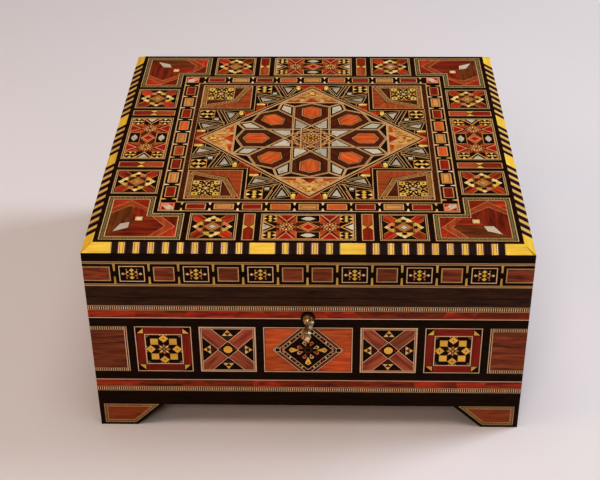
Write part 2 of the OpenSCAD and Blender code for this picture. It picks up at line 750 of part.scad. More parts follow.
// Starts of the dark stripes in a run from a to b, which begins and ends with a dark stripe
function stripes(a, b) = let (n = max(1, round((b - a - band_dark) / band_pitch)))
    [for (i = [0:n]) a + i * (b - a - band_dark) / n];
module edge_banding_dark() color(c_wenge) for (k = [0:3]) {
    for (u = stripes(-band_middle / 2, band_middle / 2)) banding(k, u, u + band_dark);
    for (u = stripes(long_run(k)[0], long_run(k)[1])) {
        banding(k, u, u + band_dark);
        banding(k, -u - band_dark, -u);
    }
}
module between_stripes(k, list) for (i = [0:len(list) - 2]) banding(k, list[i] + band_dark, list[i + 1]);
module edge_banding_light() color(c_yellow) {
    for (k = [0:3]) {
        between_stripes(k, stripes(-band_middle / 2, band_middle / 2));
        between_stripes(k, stripes(long_run(k)[0], long_run(k)[1]));
        between_stripes(k, stripes(-long_run(k)[1], -long_run(k)[0]));
        banding(k, band_middle / 2, long_run(k)[0]);
        banding(k, -long_run(k)[0], -band_middle / 2);
        banding_corner(k, -1);
        banding_corner(k, 1);
    }
}

// Lid sides: lines above and below a dark field of tiles with short bars between them
function cell_edges() = [for (u = 0, i = 0; u < $edge - 12; i = i + 1,
    u = u + (i % 2 == 1 ? cell_rose : cell_mosaic)) u];
module side_rose() both_ways() {
    edges = cell_edges();
    for (i = [0:2:len(edges) - 2]) translate([(edges[i] + edges[i + 1]) / 2, side_mid])
        polygon(rect(cell_rose - 4.55, side_tile_h));
    box2(edges[len(edges) - 1] + 2.3, side_mid - side_tile_h / 2, $edge, side_mid + side_tile_h / 2);
}
module side_yellow() {
    edges = cell_edges();
    both_ways() for (i = [0:len(edges) - 1]) if (i > 0)
        side_bars(edges[i]);
    side_bars(0);
    both_ways() for (i = [1:2:len(edges) - 2]) translate([(edges[i] + edges[i + 1]) / 2, side_mid])
        polygon(rhomb(4.6, 3.4));
}
module side_bars(u) for (s = [-1, 1]) translate([u, side_mid + s * (side_field / 2 - 2.3)])
    polygon(rect(bar_w, 4.6));
module side_lines() {
    wall_strip(side_low, side_line);
    wall_strip(side_top, side_line);
}
module lid_side_veneers() color(c_wenge) difference() {
    on_walls() difference() {
        box2(-$edge, lid_z, $edge, edge_z);
        side_lines();
        side_rose();
        side_yellow();
    }
    leaves(1, eps);
}
module lid_side_rosewood() color(c_rose) on_walls() side_rose();
module lid_side_yellow() color(c_yellow) on_walls() side_yellow();

// ---- Lid top. The border's figures have x along the side and y towards the middle ----

hour_u = star_w / 2 + border_gap + hour_w / 2;
square_u = hour_u + hour_w / 2 + border_gap + border_w / 2;
// Length of the corner block's arm along side k
function corner_l(k) = side_half(k) - in_border - square_u - border_w / 2 - border_gap;
module on_border(k) side(k) translate([0, in_border + border_w / 2 - $dist]) children();
module border_squares(what) for (k = [0:3]) on_border(k) both_ways()
    translate([square_u, 0]) cross_square(what);
module border_stars(what) for (k = [0:3]) on_border(k) star_pair(what);
module hourglasses(what) for (k = [0:3]) on_border(k) both_ways() translate([hour_u, 0]) {
    if (what == "wood") difference() {
        polygon(rect(hour_w, border_w));
        polygon(hourglass());
    }
    if (what == "yellow") polygon(hourglass());
    if (what == "all") polygon(rect(hour_w, border_w));
}
function hourglass() = [[-hour_w / 2 + 0.6, -4.5], [hour_w / 2 - 0.6, -4.5], [0.4, 0],
    [hour_w / 2 - 0.6, 4.5], [0.6 - hour_w / 2, 4.5], [-0.4, 0]];

// A square with a double line, two red arms and a rosette
square_a = border_w / 2 - 2.2;
module cross_square(what) {
    if (what == "all") polygon(rect(border_w, border_w));
    if (what == "frame") ring(rect(border_w, border_w), line_t);
    if (what == "red") difference() {
        crossed_arms(square_a, square_a, 2.6);
        polygon(ngon(8, 5));
    }
    if (what == "yellow") {
        ring(ngon(8, 4.8), 2);
        for (k = [0:3]) rotate(90 * k) translate([0, square_a - 3]) polygon(rhomb(2.4, 1.6));
    }
    if (what == "pearl") polygon(ngon(8, 2.8));
    if (what == "field") difference() {
        polygon(rect(border_w - 2 * line_t, border_w - 2 * line_t));
        cross_square("red");
        polygon(ngon(8, 4.8));
        for (k = [0:3]) rotate(90 * k) translate([0, square_a - 3]) polygon(rhomb(2.4, 1.6));
    }
}
// The panel in the middle of each side: two stars, with squares in the corners
star_du = star_w * 0.233;
star_r = border_w * 0.29;
module star_pair(what) {
    if (what == "all") polygon(rect(star_w, border_w));
    if (what == "frame") ring(rect(star_w, border_w), line_t);
    if (what == "yellow") {
        for (s = [-1, 1]) translate([s * star_du, 0]) polygon(star(8, star_r * 0.8, star_r * 0.5));
        for (sx = [-1, 1], sy = [-1, 1])
            translate([sx * (star_w / 2 - 5.2), sy * (border_w / 2 - 5.2)]) polygon(rect(6.4, 6.4));
    }
    if (what == "red") {
        for (sx = [-1, 1], sy = [-1, 1]) translate([sx * star_du, sy * border_w / 2])
            scale([1, sy]) polygon([[-4.2, -line_t - 0.6], [0, -5.6], [4.2, -line_t - 0.6]]);
        polygon(rhomb(2.6, 4));
    }
    if (what == "pearl") for (s = [-1, 1]) {
        translate([s * (star_w / 2 - 3.4), 0]) polygon(rhomb(1.8, 3.4));
        translate([0, s * 8.2]) polygon(rhomb(3.2, 2));
    }
    if (what == "field") difference() {
        polygon(rect(star_w - 2 * line_t, border_w - 2 * line_t));
        star_pair("yellow");
        star_pair("red");
        star_pair("pearl");
    }
}

// The bent block in each corner of the border, with arms of lengths a and b
bent_t = 3.4;
function bent(a, b) = [[0, 0], [a, 0], [a, border_w], [border_w, border_w], [border_w, b], [0, b]];
// An arrowhead in an arm of length a: its tip is near the arm's end, at share tip of the clear
// length, and its barbs are on the arm's edges, at share barb
function arrow(a, tip, barb) = let (end = a - bent_t, clear = a - border_w)
    [[end, bent_t], [end, border_w - bent_t], [end - clear * barb, border_w - bent_t],
     [end - clear * tip, border_w / 2], [end - clear * barb, bent_t]];
module both_arms(a, b) {
    $arm = a;
    children();
    mirror([1, -1]) let ($arm = b) children();
}
module bent_block(what, a, b) {
    if (what == "all") polygon(bent(a, b));
    if (what == "frame") {
        ring(bent(a, b), line_t);
        difference() {
            polygon(inset(bent(a, b), bent_t - line_t));
            polygon(inset(bent(a, b), bent_t));
        }
    }
    if (what == "dark") difference() {
        polygon(inset(bent(a, b), line_t));
        polygon(inset(bent(a, b), bent_t - line_t));
    }
    if (what == "orange") both_arms(a, b) difference() {
        polygon(arrow($arm, 0.35, 0.8));
        polygon(arrow($arm, 0.04, 0.52));
    }
    if (what == "red") both_arms(a, b) polygon(arrow($arm, 0.04, 0.52));
    if (what == "pearl") {
        polygon([[7, 7], [15.4, 11], [16.4, 16.4], [11, 15.4]]);
        translate([border_w - bent_t - 3.4, border_w - bent_t - 3.4]) polygon(rect(3.8, 3.8));
    }
    if (what == "wood") difference() {
        polygon(inset(bent(a, b), bent_t));
        both_arms(a, b) polygon(arrow($arm, 0.35, 0.8));
        bent_block("pearl", a, b);
    }
}
module bent_blocks(what) for (k = [0:3]) corner(k, in_border)
    bent_block(what, corner_l(k), corner_l(k + 1));

// The strip of tiles between the border and the field. Tile i is counted from the left corner.
function tiles(k) = 2 * round((side_half(k) - in_strip_mid) / 16.3);
function tile_pitch(k) = 2 * (side_half(k) - in_strip_mid) / tiles(k);
function tile_red(k, i) = abs(i - tiles(k) / 2) % 2 == 0 && i != tiles(k) / 2;
module on_strip(k) side(k) translate([0, in_strip_mid - $dist]) children();
module strip_tiles(red) for (k = [0:3], i = [1:tiles(k) - 1]) if (tile_red(k, i) == red)
    on_strip(k) translate([(i - tiles(k) / 2) * tile_pitch(k), 0]) polygon(rect(tile_l, tile_h));
module strip_bars() for (k = [0:3], i = [0:tiles(k) - 1]) on_strip(k)
    translate([(i + 0.5 - tiles(k) / 2) * tile_pitch(k), 0]) polygon(rect(bar_w, strip_w - 2 * line_t));
module strip_corners() for (k = [0:3]) corner(k, in_strip_mid) polygon(rect(tile_h, tile_h));
module inside_outline(d, t) ring(rect(box_w - 2 * d, box_d - 2 * d), t);

// Field: blocks in its corners, figures between them, and the turned square
kite_t = 2.9;
module field_block_2d(what) {
    bend = field_block * 0.72;
    kite = [[line_t, line_t], [field_block - line_t, line_t], [bend, bend],
        [line_t, field_block - line_t]];
    if (what == "all") square(field_block);
    if (what == "frame") {
        ring([[0, 0], [field_block, 0], [field_block, field_block], [0, field_block]], line_t);
        ring(kite, kite_t);
    }
    if (what == "yellow") polygon(inner_square());
    if (what == "red") difference() {
        polygon(inset(kite, kite_t));
        polygon(inner_square());
    }
    if (what == "wood") difference() {
        translate([line_t, line_t]) square(field_block - 2 * line_t);
        polygon(kite);
    }
}
function inner_square() = let (a = line_t + kite_t, b = a + field_block / 2)
    [[a, a], [b, a], [b, b], [a, b]];
module field_blocks(what) for (k = [0:3]) corner(k, in_field) field_block_2d(what);

// Figures between a corner block and the turned square, on both sides of each middle. They are
// drawn from the corner at the block, in shares of the length that lies along the field's edge,
// and once more along the block.
module field_figures(what) for (k = [0:3]) side(k) translate([0, in_field - $dist]) both_ways() {
    along = side_half(k) - in_field - field_block;
    translate([along, 0]) mirror([1, 0]) {
        field_group(what, along);
        mirror([1, -1]) field_group(what, min(along * 0.9, field_block));
        if (what == "yellow") polygon(shares(field_square, along));
    }
}
field_square = [[0.06, 0.045], [0.25, 0.045], [0.25, 0.235], [0.06, 0.235]];
field_red = [[0.76, 0.045], [0.92, 0.045], [0.84, 0.17]];
field_yellow = [[0.735, 0.045], [0.79, 0.16], [0.71, 0.18]];
field_pearl = [[0.41, 0.1], [0.6, 0.115], [0.54, 0.3]];
function shares(list, size) = [for (p = list) size * p];
module field_group(what, size) {
    if (what == "yellow") polygon(shares(field_yellow, size));
    if (what == "red") polygon(shares(field_red, size));
    if (what == "pearl") polygon(shares(field_pearl, size));
    if (what == "frame") difference() {
        polygon(inset(shares(field_pearl, size), -1.5));
        polygon(inset(shares(field_pearl, size), -0.8));
    }
}
// The four tips of the turned square, outside the medallion
module tips(what) for (k = [0:3]) rotate(90 * k) {
    h = octagon_r;
    w = octagon_r * tan(22.5);
    if (what == "all") polygon([[-w, h], [w, h], [0, h + w]]);
    if (what == "red") polygon([[-w / 3, h + 1], [w / 3, h + 1], [0, h + w * 0.36]]);
    if (what == "orange") difference() {
        polygon(inset([[-w, h], [w, h], [0, h + w]], 1.2));
        polygon([[-w / 3, h + 0.9], [w / 3, h + 0.9], [w / 3 + 0.5, h + 1.5], [0, h + w * 0.45],
            [-w / 3 - 0.5, h + 1.5]]);
    }
}
module diamond_frame() color(c_orange) on_lid()
    ring(rhomb(diamond_r, diamond_r), diamond_t);

// Medallion: eight petals whose straps lie on lines strap_c from the centre
function petal() = let (c = strap_c, r = octagon_r)
    [[0, c * sqrt(2)], [c, c * (1 + sqrt(2))], [c, r - 1 - c * tan(22.5)], [0, r - 1],
     [-c, r - 1 - c * tan(22.5)], [-c, c * (1 + sqrt(2))]];
function hexagon() = let (w = strap_c * 0.53, a = octagon_r * 0.52, b = octagon_r * 0.89)
    [[0, a], [w, a + w * 0.75], [w, b - w * 0.5], [0, b], [-w, b - w * 0.5], [-w, a + w * 0.75]];
// The shapes between two petals, drawn about the line half way between them
module between_petals(what) rotate(22.5) {
    r_in = strap_c / sin(22.5);
    r_out = octagon_r / cos(22.5);
    if (what == "inner") polygon([[0, r_in * 0.55], [strap_c * 0.23, r_in * 0.67], [0, r_in * 0.85],
        [-strap_c * 0.23, r_in * 0.67]]);
    if (what == "outer") polygon([[0, r_in * 1.22], [strap_c * 0.24, r_out * 0.86], [0, r_out * 0.925],
        [-strap_c * 0.24, r_out * 0.86]]);
}
module eight() for (k = [0:7]) rotate(45 * k) children();
module medallion_straps() color(c_line) on_lid() eight() difference() {
    polygon(inset(petal(), -strap_t / 2));
    polygon(inset(petal(), strap_t / 2));
}
module medallion_petals() color(c_maroon) on_lid() eight() difference() {
    polygon(inset(petal(), strap_t / 2));
    polygon(hexagon());
}
module medallion_hexagons() color(c_orange) on_lid() eight() polygon(inset(hexagon(), line_t));
module medallion_rosette() color(c_yellow) on_lid() difference() {
    polygon(star(8, rosette_r, rosette_r * 0.76));
    polygon(star(8, rosette_r * 0.45, rosette_r * 0.34));
}

module lid_lines() color(c_line) {
    on_walls() side_lines();
    on_lid() {
        inside_outline(in_strip, line_t);
        inside_outline(in_strip + strip_w - line_t, line_t);
        border_squares("frame");
        border_stars("frame");
        bent_blocks("frame");
        field_blocks("frame");
        field_figures("frame");
        eight() ring(hexagon(), line_t);
    }
}
module lid_corner_blocks() color(c_walnut) on_lid() {
    bent_blocks("wood");
    field_blocks("wood");
    hourglasses("wood");
}
module lid_red_inlays() color(c_red) on_lid() {
    border_squares("red");
    border_stars("red");
    bent_blocks("red");
    strip_tiles(true);
    field_blocks("red");
    field_figures("red");
    tips("red");
}
module lid_orange_inlays() color(c_orange) on_lid() {
    bent_blocks("orange");
    strip_tiles(false);
    tips("orange");
}
module lid_pearl_inlays() color(c_pearl) on_lid() {
    border_squares("pearl");
    border_stars("pearl");
    bent_blocks("pearl");
    strip_corners();
    field_figures("pearl");
    eight() {
        between_petals("inner");
        between_petals("outer");
    }
}
module lid_yellow_inlays() color(c_yellow) on_lid() {
    border_squares("yellow");
    border_stars("yellow");
    hourglasses("yellow");
    strip_bars();
    field_blocks("yellow");
    field_figures("yellow");
}
// Everything dark on top of the lid: the ground between the figures and the fields inside them
module lid_ground() color(c_wenge) on_lid() {
    difference() {
        polygon(rect(box_w - 2 * chamfer_w, box_d - 2 * chamfer_w));
        border_squares("all");
        border_stars("all");
        hourglasses("all");
        bent_blocks("all");
        inside_outline(in_strip, line_t);
        inside_outline(in_strip + strip_w - line_t, line_t);
        strip_tiles(true);
        strip_tiles(false);
        strip_bars();
        strip_corners();
        field_blocks("all");
        field_figures("yellow");
        field_figures("red");
        field_figures("pearl");
        field_figures("frame");
        ring(rhomb(diamond_r, diamond_r), diamond_t);
        tips("red");
        tips("orange");
        eight() polygon(inset(petal(), -strap_t / 2));
        eight() {
            between_petals("inner");
            between_petals("outer");
        }
        polygon(star(8, rosette_r, rosette_r * 0.76));
    }
    border_squares("field");
    border_stars("field");
    bent_blocks("dark");
    polygon(star(8, rosette_r * 0.45, rosette_r * 0.34));
}

placed() case_front();
placed() case_back();
placed() case_left();
placed() case_right();
placed() case_bottom();
placed() foot_front_left();
placed() foot_front_right();
placed() foot_back_left();
placed() foot_back_right();
placed() foot_blocks();
placed() front_veneer();
placed() back_veneer();
placed() left_veneer();
placed() right_veneer();
placed() red_bands();
placed() dotted_stringing();
placed() panel_frames();
placed() panel_rosewood();
placed() orange_panels();
placed() panel_yellow_inlays();
placed() panel_fields();
placed() floor_lining();
placed() wall_lining();
placed() lock_case();
placed() lock_cap();
placed() lock_bolt();
placed() lock_barrel();
placed() keyhole_collar();
placed() key();
placed() case_screws();
placed() hinge_case_leaves();
placed() hinge_lid_leaves();
placed() hinge_pins();
placed() lid_board();
placed() lid_front_rail();
placed() lid_back_rail();
placed() lid_left_rail();
placed() lid_right_rail();
placed() lid_side_veneers();
placed() lid_side_rosewood();
placed() lid_side_yellow();
placed() edge_banding_dark();
placed() edge_banding_light();
placed() lid_lines();
placed() lid_ground();
placed() lid_corner_blocks();
placed() lid_red_inlays();
placed() lid_orange_inlays();
placed() lid_pearl_inlays();
placed() lid_yellow_inlays();
placed() diamond_frame();
placed() medallion_straps();
placed() medallion_petals();
placed() medallion_hexagons();
placed() medallion_rosette();
placed() lid_lining();
placed() lock_link();
placed() lid_screws();
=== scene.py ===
import math
import random

import bpy
from mathutils import Matrix, Vector
from mathutils.geometry import delaunay_2d_cdt


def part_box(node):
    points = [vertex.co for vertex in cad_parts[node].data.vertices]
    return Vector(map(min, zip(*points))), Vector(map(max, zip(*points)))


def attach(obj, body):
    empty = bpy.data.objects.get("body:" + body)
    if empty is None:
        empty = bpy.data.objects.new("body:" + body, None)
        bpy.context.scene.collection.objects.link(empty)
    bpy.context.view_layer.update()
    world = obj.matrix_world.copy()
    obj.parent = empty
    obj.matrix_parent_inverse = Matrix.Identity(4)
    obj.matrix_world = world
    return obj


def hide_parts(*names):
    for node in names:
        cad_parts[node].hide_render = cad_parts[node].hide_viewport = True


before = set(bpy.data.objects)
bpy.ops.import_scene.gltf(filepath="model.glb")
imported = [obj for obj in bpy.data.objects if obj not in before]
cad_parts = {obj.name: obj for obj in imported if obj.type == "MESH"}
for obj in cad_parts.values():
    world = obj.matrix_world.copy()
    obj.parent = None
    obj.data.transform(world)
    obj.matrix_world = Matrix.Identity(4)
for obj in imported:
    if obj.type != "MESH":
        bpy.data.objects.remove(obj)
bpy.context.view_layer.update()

MM = 0.001
SQ2 = math.sqrt(2)
CORNERS = ((-1, -1), (-1, 1), (1, -1), (1, 1))
rng = random.Random(11)

# ---- Sizes in millimetres. The overall ones come from the frame, the others from the design ----

ground_low, ground_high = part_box("lid_ground")
chamfer_w, chamfer_h = 6.0, 3.4
centre_x = (ground_low.x + ground_high.x) / 2 / MM
centre_y = (ground_low.y + ground_high.y) / 2 / MM
box_w = (ground_high.x - ground_low.x) / MM + 2 * chamfer_w
box_d = (ground_high.y - ground_low.y) / MM + 2 * chamfer_w
box_h = ground_high.z / MM
seam_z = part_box("front_veneer")[1].z / MM
foot_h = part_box("front_veneer")[0].z / MM
lid_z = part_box("lid_side_veneers")[0].z / MM
edge_z = box_h - chamfer_h
veneer_t = 1.0
# Thickness of the visual pieces: a little less, so that they stay clear of the boards
piece_t = veneer_t * 0.97
# Millimetres in one unit of the grain map, and how much the tones of equal pieces vary
grain_span, tone_spread = 100, 0.28
key_z = (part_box("keyhole_collar")[0].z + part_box("keyhole_collar")[1].z) / 2 / MM
collar_r = 4.1
hinge_x, hinge_l, leaf_t = 75.0, 40.0, 1.5

# Walls
line_t = 0.8
wall_margin, string_h, band_h, panel_margin, apron_h = 5.6, 3.5, 4.8, 5.8, 10.4
centre_w, panel_w, panel_gap, centre_r = 51.2, 32.6, 4.4, 20.6
foot_toe, foot_top = 22.0, 39.0
upper_string = seam_z - wall_margin - string_h
upper_band = upper_string - band_h
upper_line = upper_band - line_t
panel_top = upper_line - panel_margin
lower_string = foot_h + apron_h
lower_band = lower_string + string_h
lower_line = lower_band + band_h
panel_bottom = lower_line + line_t + panel_margin
panel_h = panel_top - panel_bottom
panel_mid = (panel_top + panel_bottom) / 2
cross_u = centre_w / 2 + panel_gap + panel_w / 2
star_u = cross_u + panel_w + panel_gap
end_u = star_u + panel_w / 2 + panel_gap

# Lid sides and chamfer
side_margin, side_line, side_field = 7.5, 1.7, 13.3
cell_rose, cell_mosaic, cell_room, cell_gap, tile_margin, bar_l = 16.45, 19.35, 12.0, 4.55, 3.5, 4.8
side_low = lid_z + side_margin
side_mid = side_low + side_line + side_field / 2
side_top = side_low + side_line + side_field
band_corner, band_plain, band_middle, band_pitch, band_dark = 16.5, 13.8, 36.0, 8.1, 3.6
slope = math.hypot(chamfer_w, chamfer_h)

# Lid top
top_margin, border_w, border_gap, star_w, hour_w = 2.5, 27.5, 3.2, 53.7, 6.8
strip_w, strip_gap, tile_h, tile_l, tile_pitch, tick_l = 10.4, 2.3, 6.2, 11.7, 16.3, 2.7
field_block, field_gap, wing_gap, diamond_t, diamond_gap = 34.0, 2.55, 2.4, 2.6, 1.75
ring_t = 3.4
in_border = chamfer_w + top_margin
in_strip = in_border + border_w + strip_gap
in_strip_mid = in_strip + strip_w / 2
in_field = in_strip + strip_w + field_gap
field_half = box_w / 2 - in_field
diamond_r = field_half - diamond_gap
octagon_r = diamond_r / SQ2 - diamond_t
# Half the width of a petal, as a share of half the octagon's side, and the straps round it
petal_share = 0.577
strap_c = octagon_r * math.tan(math.pi / 8) * petal_share
strap_t = octagon_r / 30
hour_u = star_w / 2 + border_gap + hour_w / 2
square_u = hour_u + hour_w / 2 + border_gap + border_w / 2
corner_l = box_w / 2 - in_border - square_u - border_w / 2 - border_gap

# ---- Plane figures: lists of (x, y), anticlockwise ----


def rect(w, h, x=0.0, y=0.0):
    return [(x + s * w / 2, y + t * h / 2) for s, t in ((-1, -1), (1, -1), (1, 1), (-1, 1))]


def box2(x1, y1, x2, y2):
    return [(x1, y1), (x2, y1), (x2, y2), (x1, y2)]


def rhomb(a, b, x=0.0, y=0.0):
    return [(x + a, y), (x, y + b), (x - a, y), (x, y - b)]


def mirror(s, *points):
    """The points as they are if s is 1, and with left and right exchanged if it is -1."""
    return [(s * x, y) for x, y in points]


def polar(r, angle):
    return r * math.cos(math.radians(angle)), r * math.sin(math.radians(angle))


def star(n, r1, r2, start=0.0):
    return [polar(r1 if i % 2 == 0 else r2, start + 180 * i / n) for i in range(2 * n)]


def ngon(n, r):
    """n sides that lie r from the centre, with one side facing up."""
    far = r / math.cos(math.pi / n)
    return [polar(far, 360 * (i + 0.5) / n + 90) for i in range(n)]


def area(p):
    return sum(a[0] * b[1] - b[0] * a[1] for a, b in zip(p, p[1:] + p[:1])) / 2


def inset(p, d):
    """The anticlockwise outline p, moved inwards by d."""
    out = []
    for (x0, y0), (x, y), (x1, y1) in zip(p[-1:] + p[:-1], p, p[1:] + p[:1]):
        ax, ay, bx, by = x - x0, y - y0, x1 - x, y1 - y
        al, bl = math.hypot(ax, ay), math.hypot(bx, by)
        n1, n2 = (-ay / al, ax / al), (-by / bl, bx / bl)
        k = d / (1 + n1[0] * n2[0] + n1[1] * n2[1])
        out.append((x + k * (n1[0] + n2[0]), y + k * (n1[1] + n2[1])))
    return out


def half_arm(x, y, b):
    """A diagonal arm of half width b, from a corner of a rectangle to its middle.

    x and y are the half sides of the rectangle.
    """
    c = b * SQ2
    return [(-x, -y), (c - x, -y), (c / 2, -c / 2), (-c / 2, c / 2), (-x, c - y)]


# ---- Marquetry: figures laid over one another, then cut into one flush layer of pieces ----


def connected(faces):
    """Groups of faces that share edges."""
    home, owner = list(range(len(faces))), {}

    def root(i):
        while home[i] != i:
            home[i] = home[home[i]]
            i = home[i]
        return i

    for i, face in enumerate(faces):
        for a, b in zip(face, face[1:] + face[:1]):
            key = (min(a, b), max(a, b))
            if key in owner:
                home[root(i)] = root(owner[key])
            owner[key] = i
    groups = {}
    for i, face in enumerate(faces):
        groups.setdefault(root(i), []).append(face)
    return [groups[k] for k in sorted(groups)]


class Pen:
    """Draws on a sheet, which is a list of figures. A later figure lies over the earlier ones.

    The place (a, b, c, d, x, y) takes a point (u, v) to (a u + c v + x, b u + d v + y).
    """

    def __init__(self, area_name, sheet=None, place=(1, 0, 0, 1, 0, 0)):
        self.area, self.place = area_name, place
        self.sheet = [] if sheet is None else sheet

    def at(self, x=0.0, y=0.0, turn=0.0, flip=False):
        """A pen moved by (x, y), then turned, then with its own x mirrored."""
        a, b, c, d, ox, oy = self.place
        co, si = math.cos(math.radians(turn)), math.sin(math.radians(turn))
        m = (-co, -si, -si, co) if flip else (co, si, -si, co)
        place = (a * m[0] + c * m[1], b * m[0] + d * m[1], a * m[2] + c * m[3],
                 b * m[2] + d * m[3], a * x + c * y + ox, b * x + d * y + oy)
        return Pen(self.area, self.sheet, place)

    def around(self, n, start=0.0):
        """n pens turned by equal steps, the first by start."""
        return [self.at(turn=start + 360 / n * k) for k in range(n)]

    def swapped(self):
        """A pen with x and y exchanged."""
        a, b, c, d, x, y = self.place
        return Pen(self.area, self.sheet, (c, d, a, b, x, y))

    def scaled(self, f):
        """A pen whose unit is f times as long."""
        a, b, c, d, x, y = self.place
        return Pen(self.area, self.sheet, (a * f, b * f, c * f, d * f, x, y))

    def fill(self, wood, points, tone=0.0, grain=0.0):
        """Lays a figure. tone is how light it is, or the two limits of a random one."""
        a, b, c, d, x, y = self.place
        put = [(a * u + c * v + x, b * u + d * v + y) for u, v in points]
        if area(put) < 0:
            put.reverse()
        gx, gy = polar(1, grain)
        way = math.degrees(math.atan2(b * gx + d * gy, a * gx + c * gy))
        if isinstance(tone, tuple):
            tone = rng.uniform(*tone)
        self.sheet.append({"wood": wood, "points": put, "grain": way, "tone": tone,
                           "area": self.area})

    def paint(self, *figures):
        """Lays figures in order, each given as fill takes it."""
        for figure in figures:
            self.fill(*figure)

    def nest(self, points, layers, last, tone=0.0, grain=0.0):
        """Bands of (wood, width) from the outline inwards, round a last wood.

        Returns the width of all bands together.
        """
        done = 0.0
        for wood, width in layers:
            self.fill(wood, inset(points, done), grain=grain)
            done += width
        self.fill(last, inset(points, done), tone, grain)
        return done

    def line(self, wood, a, b, width):
        """A strip from a to b."""
        dx, dy = b[0] - a[0], b[1] - a[1]
        k = width / 2 / math.hypot(dx, dy)
        nx, ny = -dy * k, dx * k
        self.fill(wood, [(a[0] - nx, a[1] - ny), (b[0] - nx, b[1] - ny), (b[0] + nx, b[1] + ny),
                         (a[0] + nx, a[1] + ny)])

    def dots(self, wood, a, b, pitch, size, tall):
        """A row of small blocks from a to b."""
        dx, dy = b[0] - a[0], b[1] - a[1]
        length = math.hypot(dx, dy)
        dx, dy = dx / length, dy / length
        n = max(1, round(length / pitch))
        for i in range(n):
            u = (i + 0.5) * length / n
            x, y = a[0] + dx * u, a[1] + dy * u
            self.fill(wood, [(x + p * dx - q * dy, y + p * dy + q * dx)
                             for p, q in rect(size, tall)], (-0.6, 0.6))

    def dotted_ring(self, points, line, gap, pitch=0.85, tall=0.66, ticks="boxwood"):
        """Dotted stringing along an outline: a light line, a dark row of ticks, a light line."""
        for wood, depth in (("boxwood", 0), ("wenge", line), ("boxwood", line + gap)):
            self.fill(wood, inset(points, depth))
        middle = inset(points, line + gap / 2)
        for p, q in zip(middle, middle[1:] + middle[:1]):
            self.dots(ticks, p, q, pitch, pitch * 0.52, gap * tall)

    def cut(self):
        """[(figure, {vertex: place}, [faces])] for each connected piece that still shows."""
        places, loops = [], []
        for figure in self.sheet:
            loops.append(list(range(len(places), len(places) + len(figure["points"]))))
            places += [Vector(p) for p in figure["points"]]
        verts, _, faces, _, _, owners = delaunay_2d_cdt(places, [], loops, 3, 1e-3, True)
        shown = {}
        for face, owner in zip(faces, owners):
            if owner and self.sheet[max(owner)]["wood"]:
                shown.setdefault(max(owner), []).append(list(face))
        pieces = []
        for index, group in sorted(shown.items()):
            for part in connected(group):
                used = sorted({v for face in part for v in face})
                pieces.append((self.sheet[index], {v: tuple(verts[v]) for v in used}, part))
        return pieces


class Face:
    """Where a sheet lies: x and y run along the face, and the thickness runs inwards.

    From the foot of the face to y = top, the inward way turns from depth to depth_top.
    """

    def __init__(self, origin, ux, uy, depth, depth_top=None, top=1.0):
        self.origin, self.ux, self.uy = Vector(origin), Vector(ux), Vector(uy)
        self.depth, self.depth_top, self.top = Vector(depth), Vector(depth_top or depth), top

    def point(self, x, y, deep):
        p = self.origin + self.ux * x + self.uy * y
        if deep:
            p += self.depth.lerp(self.depth_top, min(1, max(0, y / self.top)))
        return p


stock = {}


def lay(pieces, face, body, area_name=None):
    """Adds cut pieces to the stock, which has one mesh for each area, wood and body."""
    for figure, spots, faces in pieces:
        key = (area_name or figure["area"], figure["wood"], body)
        mesh = stock.setdefault(key, {"v": [], "f": [], "uv": [], "tone": []})
        tone = figure["tone"] + rng.gauss(0, tone_spread)
        shift = rng.uniform(0, 4), rng.uniform(0, 4)
        gx, gy = polar(1, figure["grain"])
        number, flat = {}, {}
        for deep in (False, True):
            for v, (x, y) in spots.items():
                number[v, deep] = len(mesh["v"])
                mesh["v"].append(face.point(x, y, deep) * MM)
                flat[v] = ((x * gx + y * gy) / grain_span + shift[0],
                           (y * gx - x * gy) / grain_span + shift[1])
        edges = {(a, b): True for loop in faces for a, b in zip(loop, loop[1:] + loop[:1])}
        new = [[(v, False) for v in loop] for loop in faces]
        new += [[(v, True) for v in reversed(loop)] for loop in faces]
        new += [[(a, False), (a, True), (b, True), (b, False)] for a, b in edges
                if (b, a) not in edges]
        for loop in new:
            mesh["f"].append([number[corner] for corner in loop])
            mesh["uv"] += [flat[corner[0]] for corner in loop]
            mesh["tone"].append(tone)


# ---- Materials ----


